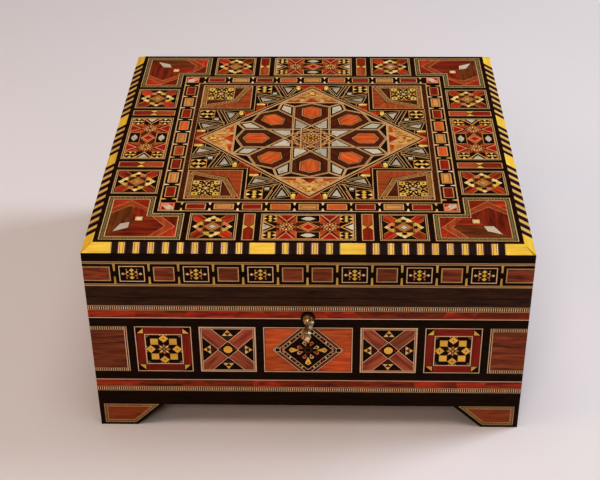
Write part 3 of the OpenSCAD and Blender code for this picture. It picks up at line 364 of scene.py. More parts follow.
class Nodes:
    """A material's nodes. The value of an input is a socket, which is linked, or a constant."""

    def __init__(self, name):
        self.material = bpy.data.materials.new(name)
        self.material.use_nodes = True
        self.tree = self.material.node_tree
        self.shader = self.tree.nodes["Principled BSDF"]

    def put(self, node, inputs):
        for key, value in inputs.items():
            if isinstance(value, bpy.types.NodeSocket):
                self.tree.links.new(value, node.inputs[key])
            else:
                node.inputs[key].default_value = value

    def new(self, kind, output, inputs=None, **settings):
        """The output socket of a new node."""
        node = self.tree.nodes.new("ShaderNode" + kind)
        for key, value in settings.items():
            setattr(node, key, value)
        self.put(node, inputs or {})
        return node.outputs[output]

    def noise(self, source, stretch, detail, rough, distort=0.0):
        vector = self.new("Mapping", "Vector", {"Vector": source, "Scale": stretch})
        return self.new("TexNoise", "Fac", {"Vector": vector, "Scale": 1.0, "Detail": detail,
                                            "Roughness": rough, "Distortion": distort})

    def ramp(self, value, *stops):
        colour = self.new("ValToRGB", "Color", {"Fac": value})
        elements = colour.node.color_ramp.elements
        while len(elements) < len(stops):
            elements.new(0.5)
        for element, (at, shade) in zip(elements, stops):
            element.position, element.color = at, (*shade[:3], 1.0)
        return colour

    def mix(self, factor, a, b):
        return self.new("Mix", 2, {0: factor, 6: a, 7: b}, data_type="RGBA")

    def sum(self, total, *terms):
        """total plus each (value, factor) multiplied."""
        for value, factor in terms:
            total = self.new("Math", 0, {0: value, 1: factor, 2: total}, operation="MULTIPLY_ADD")
        return total

    def range(self, value, low, high):
        return self.new("MapRange", 0, {"Value": value, "To Min": low, "To Max": high})

    def toned(self, colour, usual, spread, hue=0.0):
        """The colour, lighter or darker by each piece's own tone."""
        own = self.new("Attribute", "Fac", attribute_name="tone")
        return self.new("HueSaturation", "Color", {
            "Color": colour, "Value": self.sum(usual, (own, spread)),
            "Hue": self.sum(0.5, (own, hue))})

    def set(self, **inputs):
        self.put(self.shader, {key.replace("_", " "): value for key, value in inputs.items()})

    def bump(self, height, distance, strength):
        self.set(Normal=self.new("Bump", "Normal", {"Height": height, "Distance": distance,
                                                    "Strength": strength}))


def srgb(r, g, b):
    """Linear colour of an 8-bit sRGB one."""
    return tuple((c / 255 / 12.92 if c <= 10 else ((c / 255 + 0.055) / 1.055) ** 2.4)
                 for c in (r, g, b)) + (1.0,)


def grey(v):
    return (v, v, v)


def wood(name, light, dark, figure, streak, tone, rough=0.42, coat=0.08, spec=0.1):
    """Veneer under lacquer, with its grain along the grain map's x and a tone for each piece.

    figure is the share of the broad waves against the fibres, streak the contrast.
    """
    m = Nodes(name)
    uv = m.new("UVMap", "UV", uv_map="grain")
    waves = m.noise(uv, (4.8, 35.2, 1), 3, 0.5, 0.6)
    fibres = m.noise(uv, (9, 150, 1), 5, 0.62)
    pores = m.noise(uv, (40, 900, 1), 2, 0.6)
    half = 0.2 / (streak + 0.4)
    colour = m.ramp(m.sum(0, (waves, figure), (fibres, 1 - figure)),
                    (0.5 - half, srgb(*dark)), (0.5 + half, srgb(*light)))
    colour = m.mix(m.ramp(pores, (0.30, grey(0.35)), (0.42, grey(0))), colour, srgb(*dark))
    haze = m.noise(m.new("TexCoord", "Object"), (14, 14, 14), 4, 0.6)
    m.set(Base_Color=m.toned(colour, 1.0, tone, tone * -0.015), Coat_Weight=coat,
          Coat_Roughness=0.22, Specular_IOR_Level=spec,
          Roughness=m.range(haze, rough - 0.08, rough + 0.12))
    m.bump(m.sum(0, (fibres, 0.6), (pores, 0.4)), 0.00006, 0.6)
    return m.material


def pearl_material():
    """Mother-of-pearl with soft clouds of cream, pink and green."""
    m = Nodes("mother_of_pearl")
    clouds = m.noise(m.new("UVMap", "UV", uv_map="grain"), (18, 40, 1), 3, 0.5, 1.2)
    colour = m.ramp(clouds, (0.30, srgb(150, 160, 134)), (0.46, srgb(206, 198, 172)),
                    (0.56, srgb(214, 188, 168)), (0.68, srgb(188, 200, 182)))
    m.set(Base_Color=m.toned(colour, 0.92, 0.2), Roughness=m.range(clouds, 0.18, 0.36),
          Coat_Weight=0.5, Coat_Roughness=0.1)
    return m.material


def burl_material():
    """Gold burl: mottled in every direction, with darker eyes."""
    m = Nodes("gold_burl")
    uv = m.new("UVMap", "UV", uv_map="grain")
    clouds = m.noise(uv, (14, 22, 1), 5, 0.6, 2.2)
    eyes = m.noise(uv, (60, 80, 1), 2, 0.5, 0.8)
    colour = m.ramp(clouds, (0.34, srgb(140, 72, 30)), (0.48, srgb(190, 130, 66)),
                    (0.64, srgb(222, 180, 106)))
    colour = m.mix(m.ramp(eyes, (0.62, grey(0)), (0.7, grey(0.7))), colour, srgb(140, 70, 28))
    m.set(Base_Color=m.toned(colour, 0.96, 0.14), Roughness=m.range(clouds, 0.36, 0.5),
          Coat_Weight=0.1, Coat_Roughness=0.22, Specular_IOR_Level=0.18)
    return m.material


def board(name, light, dark, axis, rough=0.5, coat=0.1, spec=0.3):
    """Solid wood with its grain along an axis."""
    m = Nodes(name)
    place = m.new("TexCoord", "Object")
    fibres = m.noise(place, [14 if i == axis else 420 for i in range(3)], 5, 0.6)
    waves = m.noise(place, [4 if i == axis else 60 for i in range(3)], 3, 0.5, 0.8)
    m.set(Base_Color=m.ramp(m.sum(0, (waves, 0.55), (fibres, 0.45)), (0.36, srgb(*dark)),
                            (0.62, srgb(*light))),
          Roughness=m.range(fibres, rough - 0.06, rough + 0.12), Coat_Weight=coat,
          Coat_Roughness=0.2, Specular_IOR_Level=spec)
    m.bump(fibres, 0.0001, 0.5)
    return m.material


def metal(name, light, dark, rough, scale=260):
    """Brass with spots of tarnish."""
    m = Nodes(name)
    place = m.new("TexCoord", "Object")
    clouds = m.noise(place, [scale] * 3, 5, 0.65)
    spots = m.noise(place, [scale * 4] * 3, 3, 0.7)
    tarnish = m.sum(0, (clouds, 0.7), (spots, 0.3))
    m.set(Base_Color=m.ramp(tarnish, (0.38, srgb(*dark)), (0.6, srgb(*light))), Metallic=1.0,
          Roughness=m.range(tarnish, rough + 0.18, rough - 0.1))
    m.bump(spots, 0.00004, 0.6)
    return m.material


def velvet(name, light, dark, sheen):
    """Short pile, crushed here and there."""
    m = Nodes(name)
    place = m.new("TexCoord", "Object")
    pile = m.noise(place, [2600] * 3, 2, 0.7)
    crush = m.noise(place, [26] * 3, 4, 0.6, 0.5)
    m.set(Base_Color=m.ramp(m.sum(0, (pile, 0.4), (crush, 0.6)), (0.36, srgb(*dark)),
                            (0.64, srgb(*light))),
          Roughness=0.9, Sheen_Weight=0.7, Sheen_Roughness=0.4, Sheen_Tint=srgb(*sheen))
    m.bump(pile, 0.0004, 0.7)
    return m.material


# Each wood's slot, material, light and dark colours, and the other settings of wood()
VENEERS = {
    "wenge": ("wenge", "wenge_veneer", (46, 24, 8), (15, 7, 2), 0.5, 0.9, 0.22, 0.5, 0.03, 0.04),
    # seam is wenge made lighter and redder for the bands on either side of the join between lid and
    # case. The extra lightness is painted light, drawing these bands brighter than the wenge lower
    # down. The redder streaks are the band's own.
    "seam": ("wenge", "lit_red_wenge_veneer", (80, 45, 21), (36, 18, 8), 0.6, 1.0, 0.22, 0.44, 0.06),
    "boxwood": ("boxwood", "boxwood_line", (210, 176, 124), (160, 122, 78), 0.4, 0.5, 0.2),
    "frameline": ("boxwood", "maple_line", (244, 210, 174), (206, 162, 124), 0.4, 0.5, 0.16),
    "elm": ("boxwood", "elm_line", (204, 168, 112), (156, 120, 74), 0.4, 0.5, 0.2),
    "cream": ("boxwood", "cream_wood", (246, 222, 160), (214, 178, 112), 0.4, 0.5, 0.16),
    "tan": ("boxwood", "tan_veneer", (216, 160, 88), (166, 108, 48), 0.6, 0.6, 0.2),
    "green": ("boxwood", "green_wood", (168, 160, 104), (116, 108, 60), 0.4, 0.5, 0.24),
    "gold": ("lemonwood", "gold_wood", (252, 206, 98), (224, 162, 62), 0.5, 0.6, 0.2),
    "straw": ("lemonwood", "straw_wood", (226, 192, 94), (186, 146, 58), 0.5, 0.6, 0.2),
    "yellow": ("lemonwood", "lemonwood", (242, 210, 80), (210, 160, 38), 0.5, 0.6, 0.18),
    "rose": ("rosewood", "pink_rosewood", (186, 100, 66), (112, 50, 30), 0.7, 0.9, 0.26),
    "pink": ("rosewood", "pink_wood", (226, 148, 108), (180, 94, 60), 0.4, 0.5, 0.2),
    "rosewood": ("rosewood", "rosewood_veneer", (152, 78, 44), (84, 36, 16), 0.75, 1.0, 0.26),
    "copper": ("rosewood", "copper_veneer", (178, 86, 42), (122, 50, 20), 0.6, 0.8, 0.24),
    "padauk": ("padauk", "red_band", (194, 66, 30), (96, 26, 10), 0.75, 1.0, 0.32),
    "crimson": ("padauk", "crimson_veneer", (170, 46, 20), (98, 22, 8), 0.5, 0.7, 0.3),
    "orange": ("orange_wood", "orange_veneer", (222, 112, 52), (168, 62, 26), 0.7, 0.9, 0.26),
    "walnut": ("walnut", "walnut_veneer", (126, 66, 28), (66, 30, 8), 0.6, 0.9, 0.24),
    "redwalnut": ("walnut", "red_walnut_veneer", (146, 52, 24), (76, 20, 6), 0.65, 1.0, 0.26),
    "maroon": ("maroon_wood", "maroon_veneer", (98, 42, 18), (46, 17, 6), 0.6, 0.8, 0.26),
}
WOODS = {key: (wood(*look), slot) for key, (slot, *look) in VENEERS.items()}
WOODS |= {"burl": (burl_material(), "lemonwood"), "pearl": (pearl_material(), "pearl")}

# ---- Marquetry of the lid's top ----

DOUBLE = (("boxwood", 0.6), ("wenge", 0.4), ("boxwood", 0.5))


def rings(pen, *rows):
    """Rings of eight rhombs, given by wood, radius, turn and half sizes outwards and across."""
    for kind, at, start, long, wide in rows:
        for q in pen.around(8, start):
            q.fill(kind, rhomb(long, wide, at), (-0.5, 0.6))


def speckled(pen, r):
    """Rings of small rhombs on a dark star, each ring between the points of the one before."""
    unit = pen.scaled(r)
    unit.paint(("wenge", star(8, 1, 0.8)), ("rosewood", star(8, 0.94, 0.74), 0.4))
    rings(unit, ("tan", 0.8, 0, 0.15, 0.09), ("tan", 0.62, 22.5, 0.14, 0.12),
          ("cream", 0.45, 0, 0.13, 0.1), ("wenge", 0.42, 22.5, 0.1, 0.06),
          ("tan", 0.24, 0, 0.1, 0.08))
    unit.fill("wenge", star(8, 0.15, 0.09))


def cross_square(pen):
    """Red arms from the corners, and on each side a crown of light pieces on a turned square."""
    pen.nest(rect(border_w, border_w), DOUBLE, "wenge")
    a = border_w / 2 - 2.2
    plain = rng.choice((True, False))
    for k, q in enumerate(pen.around(4)):
        q.paint(("tan", half_arm(a, a, 3.35), 0, 45),
                ("padauk", half_arm(a - 0.1, a - 0.1, 2.9),
                 (-0.9, -0.3) if plain == (k % 2 == 0) else (0.0, 0.8), 45))
    pen.paint(("tan", ngon(8, 8.3)), ("wenge", ngon(8, 8.0)))
    for k, q in enumerate(pen.around(4)):
        for s, kind in ((-1, "straw"), (1, "pink" if k % 2 else "cream")):
            q.fill(kind, mirror(s, (2.4, 9.4), (0, 8.1), (1.7, 7.1), (1.2, 5.6), (4.7, 5.6),
                                (4.7, 6.7)), (-0.9, 0.3))
        q.paint(("cream", [(0, 11.3), (-1.8, 9.5), (0, 8.2), (1.8, 9.5)], (-0.9, 0.2)),
                ("wenge", [(0, 7.9), (-1.6, 7.1), (0, 5.2), (1.6, 7.1)]))
    pen.paint(("tan", rect(10.7, 10.7), -0.3), ("maroon", rect(10.1, 10.1), 0.3))
    pen.nest(rhomb(5, 5), (("tan", 0.35), ("rose", 0.8), ("straw", 0.4), ("wenge", 0.45)),
             "tan" if plain else "pearl", -0.3)


def check_square(pen, size):
    """A small mosaic: a yellow column with light points at both sides, on black."""
    i = size / 2 - pen.nest(rect(size, size), (("tan", 0.35),), "wenge")
    for y in (-1, 0, 1):
        pen.fill("straw", rhomb(i * 0.34, i * 0.42, 0, y * i * 0.6), (-0.3, 0.4))
    for s in (-1, 1):
        pen.fill("cream", mirror(s, (i, -i * 0.32), (i, i * 0.32), (i * 0.45, 0)))
        for t in (-i, i):
            pen.fill("tan", mirror(s, (i, t), (i * 0.5, t), (i, t * 0.5)), 0.4)


def star_panel_top(pen):
    """Two speckled rosettes among red triangles, pearls in black, and checks in the corners."""
    edge = pen.nest(rect(star_w, border_w), DOUBLE, "rosewood", 0.2, 90)
    w, h = star_w / 2 - edge, border_w / 2 - edge
    check, mid = w * 0.3, w * 0.265
    rays = (w - check + mid) / 2
    reach, deep = rays - mid, h * 0.6
    low = h - deep
    for sx in (-1, 1):
        q = pen.at(sx * rays)
        for sy in (-1, 1):
            check_square(pen.at(sx * (w - check / 2), sy * (h - deep / 2)), check)
            t = q.at(turn=0 if sy < 0 else 180)
            t.fill("wenge", [(-reach, -h), (-reach, -4.2), (0, -4.9), (reach, -4.2), (reach, -h)])
            for s in (-1, 1):
                t.fill("copper", mirror(s, (reach, 1.2 - h), (1.2, -4.6), (reach, -3.6)), 0.8)
            t.paint(("pink", [(-reach, -h), (reach, -h), (0, -4.9)], -0.4),
                    ("crimson", [(1.5 - reach, -h), (reach - 1.5, -h), (0, -6.5)], (0, 0.9), 90))
        for s in (-1, 1):
            q.paint(("maroon", mirror(s, (reach, -3.6), (reach, 3.6), (2, 0))),
                    ("copper", mirror(s, (reach, -1.9), (reach, 1.9), (3, 0)), 0.9))
        speckled(q, reach * 1.04)
        # The pearl at the panel's end, in a light chevron
        pen.at(sx * w, turn=0 if sx < 0 else 180).paint(
            ("wenge", box2(0, -low, check, low)),
            ("tan", [(0, -low), (1.5, -low), (check, 0), (1.5, low), (0, low)]),
            ("wenge", [(0, 0.9 - low), (0.9, 0.9 - low), (check - 1.3, 0), (0.9, low - 0.9),
                       (0, low - 0.9)]),
            ("pearl", [(0, 1.6 - low), (check - 3.1, 0), (0, low - 1.6)], 0, 90))
    pen.paint(("maroon", box2(-mid, -low, mid, low), 0.3), ("tan", rhomb(mid, low)),
              ("orange", rhomb(mid - 0.9, low - 0.6), -0.9), ("pink", rhomb(4.2, 4.0)),
              ("crimson", rhomb(2.9, 2.9), 0.7, 90))
    for s in (-1, 1):
        block = pen.at(0, s * (h - deep / 2))
        block.nest(rect(2 * mid, deep), (("tan", 0.45),), "wenge")
        block.fill("pearl", [(-4.3, 0), (-1.2, -1.9), (1.2, -1.9), (4.3, 0), (1.2, 1.9),
                             (-1.2, 1.9)])


def hourglass(pen):
    """Two pieces that meet at a waist, with yellow triangles beside it."""
    edge = pen.nest(rect(hour_w, border_w), (("boxwood", 0.6),), "copper", 0.1, 90)
    w, h = hour_w / 2 - edge, border_w / 2 - edge
    pen.fill("crimson", box2(-w, -h, w, 0), (-0.9, -0.3), 90)
    for s in (-1, 1):
        pen.paint(("wenge", mirror(s, (w, -3.4), (w, 3.4), (0, 0))),
                  ("straw", mirror(s, (w, -2.5), (w, 2.5), (0.4, 0)), 0.3))


def arrow(tip, barb, back):
    """The arrow in the end of an arm. tip and barb are shares of the arm's clear length."""
    end, clear, w, t = corner_l - ring_t, corner_l - border_w, border_w, ring_t
    barb_x = end - clear * barb - back
    return [(end, t), (end, w - t), (barb_x, w - t), (end - clear * tip - back, w / 2), (barb_x, t)]


def bent_block(pen):
    """The bent block in a corner of the border: two arms of walnut that end in red arrows."""
    w, t, a = border_w, ring_t, corner_l
    end = a - t
    tip, barb_x = (end - (a - w) * 0.04, w / 2), end - (a - w) * 0.52
    pen.dotted_ring([(0, 0), (a, 0), (a, w), (w, w), (w, a), (0, a)], 0.65, t - 1.3, ticks="green")
    for q, kind in ((pen, "redwalnut"), (pen.swapped(), "walnut")):
        q.paint((kind, [(t, t), (end, t), (end, w - t), (w - t, w - t)], (-0.3, 0.3)),
                ("pink", arrow(0.35, 0.8, 0.5), -0.3, 90),
                ("copper", arrow(0.35, 0.8, 0), -0.3, 90),
                ("pink", arrow(0.04, 0.52, 0.5)),
                ("padauk", [(end, t), (end, w / 2), tip, (barb_x, t)], -0.1, 90),
                ("crimson", [(end, w / 2), (end, w - t), (barb_x, w - t), tip], -0.8, 90))
    x, y = w - t - 3.9, w - t - 2.3
    pen.paint(
        ("redwalnut", [(16.4, 16.8), (w - t, w - t), (w - t, w + 1.5), (16.4, w + 7)], 0.9, 90),
        ("padauk", [(16.4, 16.8), (17.9, 20), (17.9, w + 1), (16.4, w + 3)], -0.2, 90),
        ("wenge", rect(4.9, 4.9, x, y)), ("boxwood", rect(4.2, 4.2, x, y), 0.9),
        ("cream", rect(2.4, 2.4, x, y), -0.2),
        ("maroon", [(6.2, 7.6), (15.5, 12.0), (15.8, 18.6), (9.9, 16.6)]),
        ("pearl", [(6.9, 8.2), (15.2, 12.3), (15.4, 18.1), (10.2, 16.3)], 0, 45))


def tile(pen, kind, length, height, frame_t, tone):
    """A tile in a light frame, its grain sometimes a little aslant."""
    tone = rng.uniform(*tone)
    pen.nest(rect(length, height), (("boxwood", frame_t),), kind, tone, rng.choice((0, 4, -4)))


def strip_side(pen):
    """Tiles from corner to corner between two light lines, with flared ticks between them."""
    half = box_w / 2 - in_strip_mid
    count = 2 * round(half / tile_pitch)
    pitch = 2 * half / count
    for i in range(count):
        q = pen.at((i + 0.5 - count / 2) * pitch)
        for s in (-1, 1):
            y1, y2 = s * (strip_w / 2 - line_t), s * (strip_w / 2 - line_t - tick_l)
            q.fill("frameline" if i % 3 else "straw",
                   [(-0.85, y1), (0.85, y1), (0.35, y2), (-0.35, y2)], grain=90)
    for i in range(1, count):
        kind = ("tan", "orange", "crimson", "tan", "crimson")[min(4, abs(i - count // 2))]
        q = pen.at((i - count / 2) * pitch)
        tile(q, kind, tile_l, tile_h, 0.6, (-0.7, 0.2))
        if kind == "tan":
            q.nest(rect(tile_l - 2.2, tile_h - 2.2), (("copper", 0.4),), "tan", (0, 0.5))


def strip_corner(pen):
    """The square tile in a corner of the strip: a pearl between red and pink pieces."""
    h = tile_h / 2 + 0.25
    pen.nest(rect(tile_h + 1.9, tile_h + 1.9), (("pink", 0.7),), "pink", 0.7)
    pen.paint(("crimson", [(-h, -h), (-0.6, -h), (-h, 1.0)], 0.5),
              ("pearl", [(-h, 1.4), (0.2, -h), (h, -h), (h, -0.4), (-1.0, h), (-h, h)]),
              ("pink", [(-h, 1.5), (-1.0, 0.1), (0.4, 1.6), (-0.9, h), (-h, h)], 0.5),
              ("padauk", [(0.6, 2.0), (h, 0.3), (h, h), (0.6, h)], 0.9))


def mosaic_square(pen, size):
    """The large mosaic square of a field block, drawn from its middle in half sides."""
    unit = pen.scaled(size / 2)
    far, near = 1 - 0.7 / size, 1 - 0.9 / size
    unit.fill("wenge", rect(2, 2))
    for q in unit.around(4):
        q.paint(("straw", [(-far, far), (-near, 0.5), (-0.52, 0.52), (-0.5, near)], (-0.2, 0.3)),
                ("wenge", [(-0.86, 0.72), (-0.72, 0.66), (-0.66, 0.72), (-0.72, 0.86)]),
                ("tan", [(-0.3, far), (0.3, far), (0, 0.66)], 0.4),
                ("maroon", [(-0.15, far), (0.15, far), (0, 0.8)]),
                ("cream", rhomb(0.09, 0.09, 0, 0.56)))
        for s, kind in ((-1, "tan"), (1, "straw")):
            q.paint(("straw", mirror(s, (0.05, 0.26), (0.3, 0.36), (0.2, 0.6)), 0.3 * s),
                    (kind, mirror(s, (0.28, 0.66), (0.46, 0.6), (0.4, 0.84))))
        q.at(turn=45).paint(("tan", rhomb(0.1, 0.17, 0, 0.6)), ("cream", rhomb(0.08, 0.11, 0, 0.6)))
    unit.paint(("wenge", star(8, 0.33, 0.24, 22.5)), ("tan", star(8, 0.28, 0.2, 22.5)),
               ("wenge", ngon(8, 0.18)), ("pearl", ngon(8, 0.14)))


def field_corner(pen):
    """The square block in a corner of the field: a ticked kite round a mosaic, in copper wood."""
    s, t, e = field_block, ring_t, line_t
    bend, a = s * 0.72, e + t
    kite_shape = [(e, e), (s - e, e), (bend, bend), (e, s - e)]
    pen.nest(box2(0, 0, s, s), (("wenge", 0.3), ("boxwood", e - 0.3)), "copper", -0.1, 90)
    pen.paint(("copper", [(s - e, e), (s - e, s - e), (bend, bend)], 0.3),
              ("wenge", [(e, e), (s - e, e), (bend + 0.6, bend + 0.6), (e, s - e)]))
    pen.dotted_ring(kite_shape, 0.5, t - 1.0, 0.95, 0.84, "tan")
    pen.paint(("maroon", inset(kite_shape, t), 0.7, 90),
              ("boxwood", box2(a, a, a + s / 2 + 0.5, a + s / 2 + 0.5)))
    mosaic_square(pen.at(a + s / 4, a + s / 4), s / 2)


def field_wing(pen):
    """Figures in the right-angled corner between a block and the turned square.

    The corner is drawn 36 units long.
    """
    f = (2 * field_half - diamond_r - field_block - wing_gap) / 36

    def at(*points):
        return [(x * f, y * f) for x, y in points]

    for q in (pen, pen.swapped()):
        q.line("boxwood", *at((11.0, 0.6), (16.6, 18.2)), 0.55)
        q.line("boxwood", *at((13.2, 0.6), (18.7, 16.6)), 0.55)
        q.line("wenge", *at((12.1, 0.6), (17.6, 17.4)), 0.9)
        q.nest(at((14.7, 0.8), (24.2, 3.4), (19.3, 14.8)), (("boxwood", 0.5), ("wenge", 1.1)),
               "pearl", -0.9)
        q.line("boxwood", *at((20.2, 15.2), (24.9, 4.0)), 0.5)
        q.line("green", *at((24.6, 6.6), (22.2, 12.6)), 0.5)
        q.line("boxwood", *at((24.4, 7.4), (27.9, 7.6)), 0.4)
        q.paint(
            ("straw", at((24.7, 1.0), (26.8, 1.0), (27.2, 5.6), (25.6, 6.6), (24.4, 4.4)), 0.2),
            ("cream", at((24.9, 4.0), (26.2, 3.6), (26.6, 5.4), (25.6, 6.2))),
            ("orange", at((27.0, 0.9), (34.6, 0.9), (28.5, 7.3))),
            ("padauk", at((27.4, 0.9), (33.4, 0.9), (28.6, 6.2)), -0.7, 90))
        q.line("tan", *at((1.0, 11.9), (9.6, 14.6)), 0.35)
    d = pen.at(turn=45)
    d.fill("pearl", at((14.3, 0), (16.0, -1.7), (18.2, 0), (16.0, 1.7)))
    for s in (-1, 1):
        d.line("tan", *at((18.6, s * 0.3), (22.6, s * 1.1)), 0.35)
        d.line("green", *at((13.6, s * 0.9), (16.6, s * 3.0)), 0.45)
    check_square(pen.at(4.8 * f, 5.4 * f), 9.2 * f)


def diamond_and_tips(pen):
    """The frame of the turned square, and the gold burl in its four tips."""
    pen.nest(rhomb(diamond_r, diamond_r), (("boxwood", 0.6), ("maroon", 1.2), ("boxwood", 0.8)),
             "wenge")
    w = octagon_r * math.tan(math.pi / 8)
    for k, middle in enumerate(pen.around(4)):
        q = middle.at(0, octagon_r)
        q.nest([(-w, 0), (w, 0), (0, w)], (("boxwood", 0.7),), "burl", (-0.5, 0.2), 90 * (k % 2))
        for s in (-1, 1):
            q.paint(("copper", mirror(s, (w - 3.4, 1), (9.8, 1), (9.2, 3.6), (w - 5.4, 3)), 0.8),
                    ("padauk", mirror(s, (9.4, 1), (7.9, 1), (8.6, 4.4), (9.2, 3.6)), 0.4),
                    ("tan", mirror(s, (7.9, 1), (6, 1), (5, 6.4), (8.6, 4.4)), 0.8),
                    ("pearl", mirror(s, (5.9, 1.6), (7.4, 2), (5.2, 5.2)), -0.9),
                    ("green", mirror(s, (3.4, 5.2), (5, 6.4), (2.4, 8.2)), 0.8))
        q.paint(("pink", [(-5.7, 0.7), (5.7, 0.7), (0, 7.4)], -0.4),
                ("padauk", [(-5.0, 0.7), (5.0, 0.7), (0, 6.5)], -0.4, 90))
        m = q.at(0, w * 0.66)
        m.fill("straw", [(0, -2.4), (1.3, -0.8), (1.3, 0.8), (0, 2.4), (-1.3, 0.8), (-1.3, -0.8)],
               0.3)
        for x, y in ((-2.2, 0.4), (2.2, 0.4), (0, 2.6), (0, -2.6)):
            m.fill("maroon", rhomb(0.7, 0.8, x, y))


def petal():
    c, r = strap_c, octagon_r
    e = r - 1 - c * math.tan(math.pi / 8)
    return [(0, c * SQ2), (c, c * (1 + SQ2)), (c, e), (0, r - 1), (-c, e), (-c, c * (1 + SQ2))]


def hexagon():
    w, a, b = strap_c * 0.55, octagon_r * 0.53, octagon_r * 0.89
    return [(0, a), (w, a + w * 0.72), (w, b - w * 0.5), (0, b), (-w, b - w * 0.5),
            (-w, a + w * 0.72)]


def kite(low, wide, high):
    """A kite along y from radius low to high. wide is its side corners' (radius, angle from y)."""
    x, y = wide[0] * math.sin(math.radians(wide[1])), wide[0] * math.cos(math.radians(wide[1]))
    return [(0, low), (x, y), (0, high), (-x, y)]


def medallion(pen):
    """Eight petals outlined by straps, pearls in the kites between them, and a rosette."""
    r, c = octagon_r, strap_c
    turns, gaps = pen.around(8), pen.around(8, 22.5)
    crossing, tip = c / math.sin(math.pi / 8), c * SQ2
    corner = petal()[2]
    corner_at = math.hypot(*corner), 22.5 - math.degrees(math.atan2(*corner))
    pen.nest(ngon(8, r), (("boxwood", 0.6),), "wenge")
    outer = kite(crossing, corner_at, r / math.cos(math.pi / 8) - 0.8)
    for q in gaps:
        q.paint(("boxwood", inset(outer, -strap_t / 2)), ("wenge", inset(outer, strap_t / 2)),
                ("pearl", inset(outer, strap_t / 2 + 1.1), (-0.7, 0.3), 90))
    for kind, grow in (("boxwood", -strap_t / 2), ("maroon", -0.14), ("boxwood", 0.14)):
        for q in turns:
            q.fill(kind, inset(petal(), grow), grain=90)
    for k, q in enumerate(turns):
        q.paint(("wenge", inset(petal(), strap_t / 2)),
                ("maroon", inset(petal(), strap_t / 2 + 0.35), (-0.1, 0.8), 90),
                ("wenge", inset(hexagon(), -0.4)), ("green" if k % 2 else "boxwood", hexagon()),
                ("copper", inset(hexagon(), 0.5), -0.2, 90),
                ("orange", inset(hexagon(), 1.15), (-1.1, 0.2), 90))
    inner = kite(crossing, (tip, 22.5), tip * 0.765)[::-1]
    for q in gaps:
        q.paint(("wenge", inset(inner, strap_t / 2)),
                ("pearl", inset(inner, strap_t / 2 + 0.75), (-0.7, 0.3), 90))
    outline = star(8, tip, tip * 0.765)
    pen.paint(("boxwood", inset(outline, -0.5)), ("maroon", inset(outline, 0.45), 0.6))
    for turn, gap in zip(turns, gaps):
        q, gap = turn.scaled(tip), gap.scaled(tip)
        q.fill("wenge", kite(0.8, (0.86, 3.6), 0.93))
        for s in (-1, 1):
            q.fill("straw", rhomb(0.06, 0.08, s * 0.11, 0.66), (-0.8, 0.2))
        q.fill("tan", rhomb(0.07, 0.075, 0, 0.7), 0.7)
        gap.paint(("boxwood", rhomb(0.1, 0.09, 0, 0.62), 0.2),
                  ("maroon", rhomb(0.05, 0.045, 0, 0.62), 0.3))
    reach, away = tip * math.cos(math.pi / 8), tip * math.sin(math.pi / 8)
    for q in turns:
        q.line("boxwood", (-reach, away), (reach, away), tip * 0.048)
    pen.fill("rosewood", ngon(8, away - tip * 0.03), 0.2)
    unit = pen.scaled(away)
    for kind, at, start, long, wide in (
            ("straw", 0.8, 0, 0.15, 0.12), ("boxwood", 0.8, 22.5, 0.14, 0.07),
            ("straw", 0.54, 22.5, 0.14, 0.11), ("wenge", 0.5, 0, 0.11, 0.06),
            ("straw", 0.3, 0, 0.12, 0.08)):
        for q in unit.around(8, start):
            q.fill(kind, rhomb(wide, long, 0, at), (-0.5, 0.6))
    unit.fill("wenge", star(8, 0.14, 0.08))


def lid_top():
    """The whole top: border, tile strip, field and medallion."""
    ground = Pen("lid_ground")
    border, field, central = (Pen(name, ground.sheet) for name in ("border", "field", "medallion"))
    ground.fill("wenge", rect(box_w - 2 * chamfer_w, box_d - 2 * chamfer_w))
    for q in border.around(4):
        side = q.at(0, in_border + border_w / 2 - box_d / 2)
        for s in (-1, 1):
            cross_square(side.at(s * square_u, flip=s < 0))
            hourglass(side.at(s * hour_u))
        star_panel_top(side)
    for d in (in_strip, in_strip + strip_w - line_t):
        field.nest(rect(box_w - 2 * d, box_w - 2 * d), (("boxwood", line_t),), "wenge")
    for p, q in zip(border.around(4), field.around(4)):
        bent_block(p.at(in_border - box_w / 2, in_border - box_d / 2))
        strip_side(q.at(0, in_strip_mid - box_d / 2))
        strip_corner(q.at(in_strip_mid - box_w / 2, in_strip_mid - box_d / 2))
    f, s = field_half, field_block + wing_gap
    field.nest(rect(2 * f + 4.4, 2 * f + 4.4), (("maroon", 2.2), ("boxwood", 0.4)), "wenge")
    for p in field.around(4):
        q = p.at(-f, -f)
        for half in (q, q.swapped()):
            half.fill("boxwood", box2(s - 0.6, 0.7, s, s))
            field_wing(half.at(s, 0))
        field_corner(q)
    diamond_and_tips(central)
    medallion(central)
    return ground.cut()


# ---- Marquetry of the walls: x along the side from its middle, y up ----


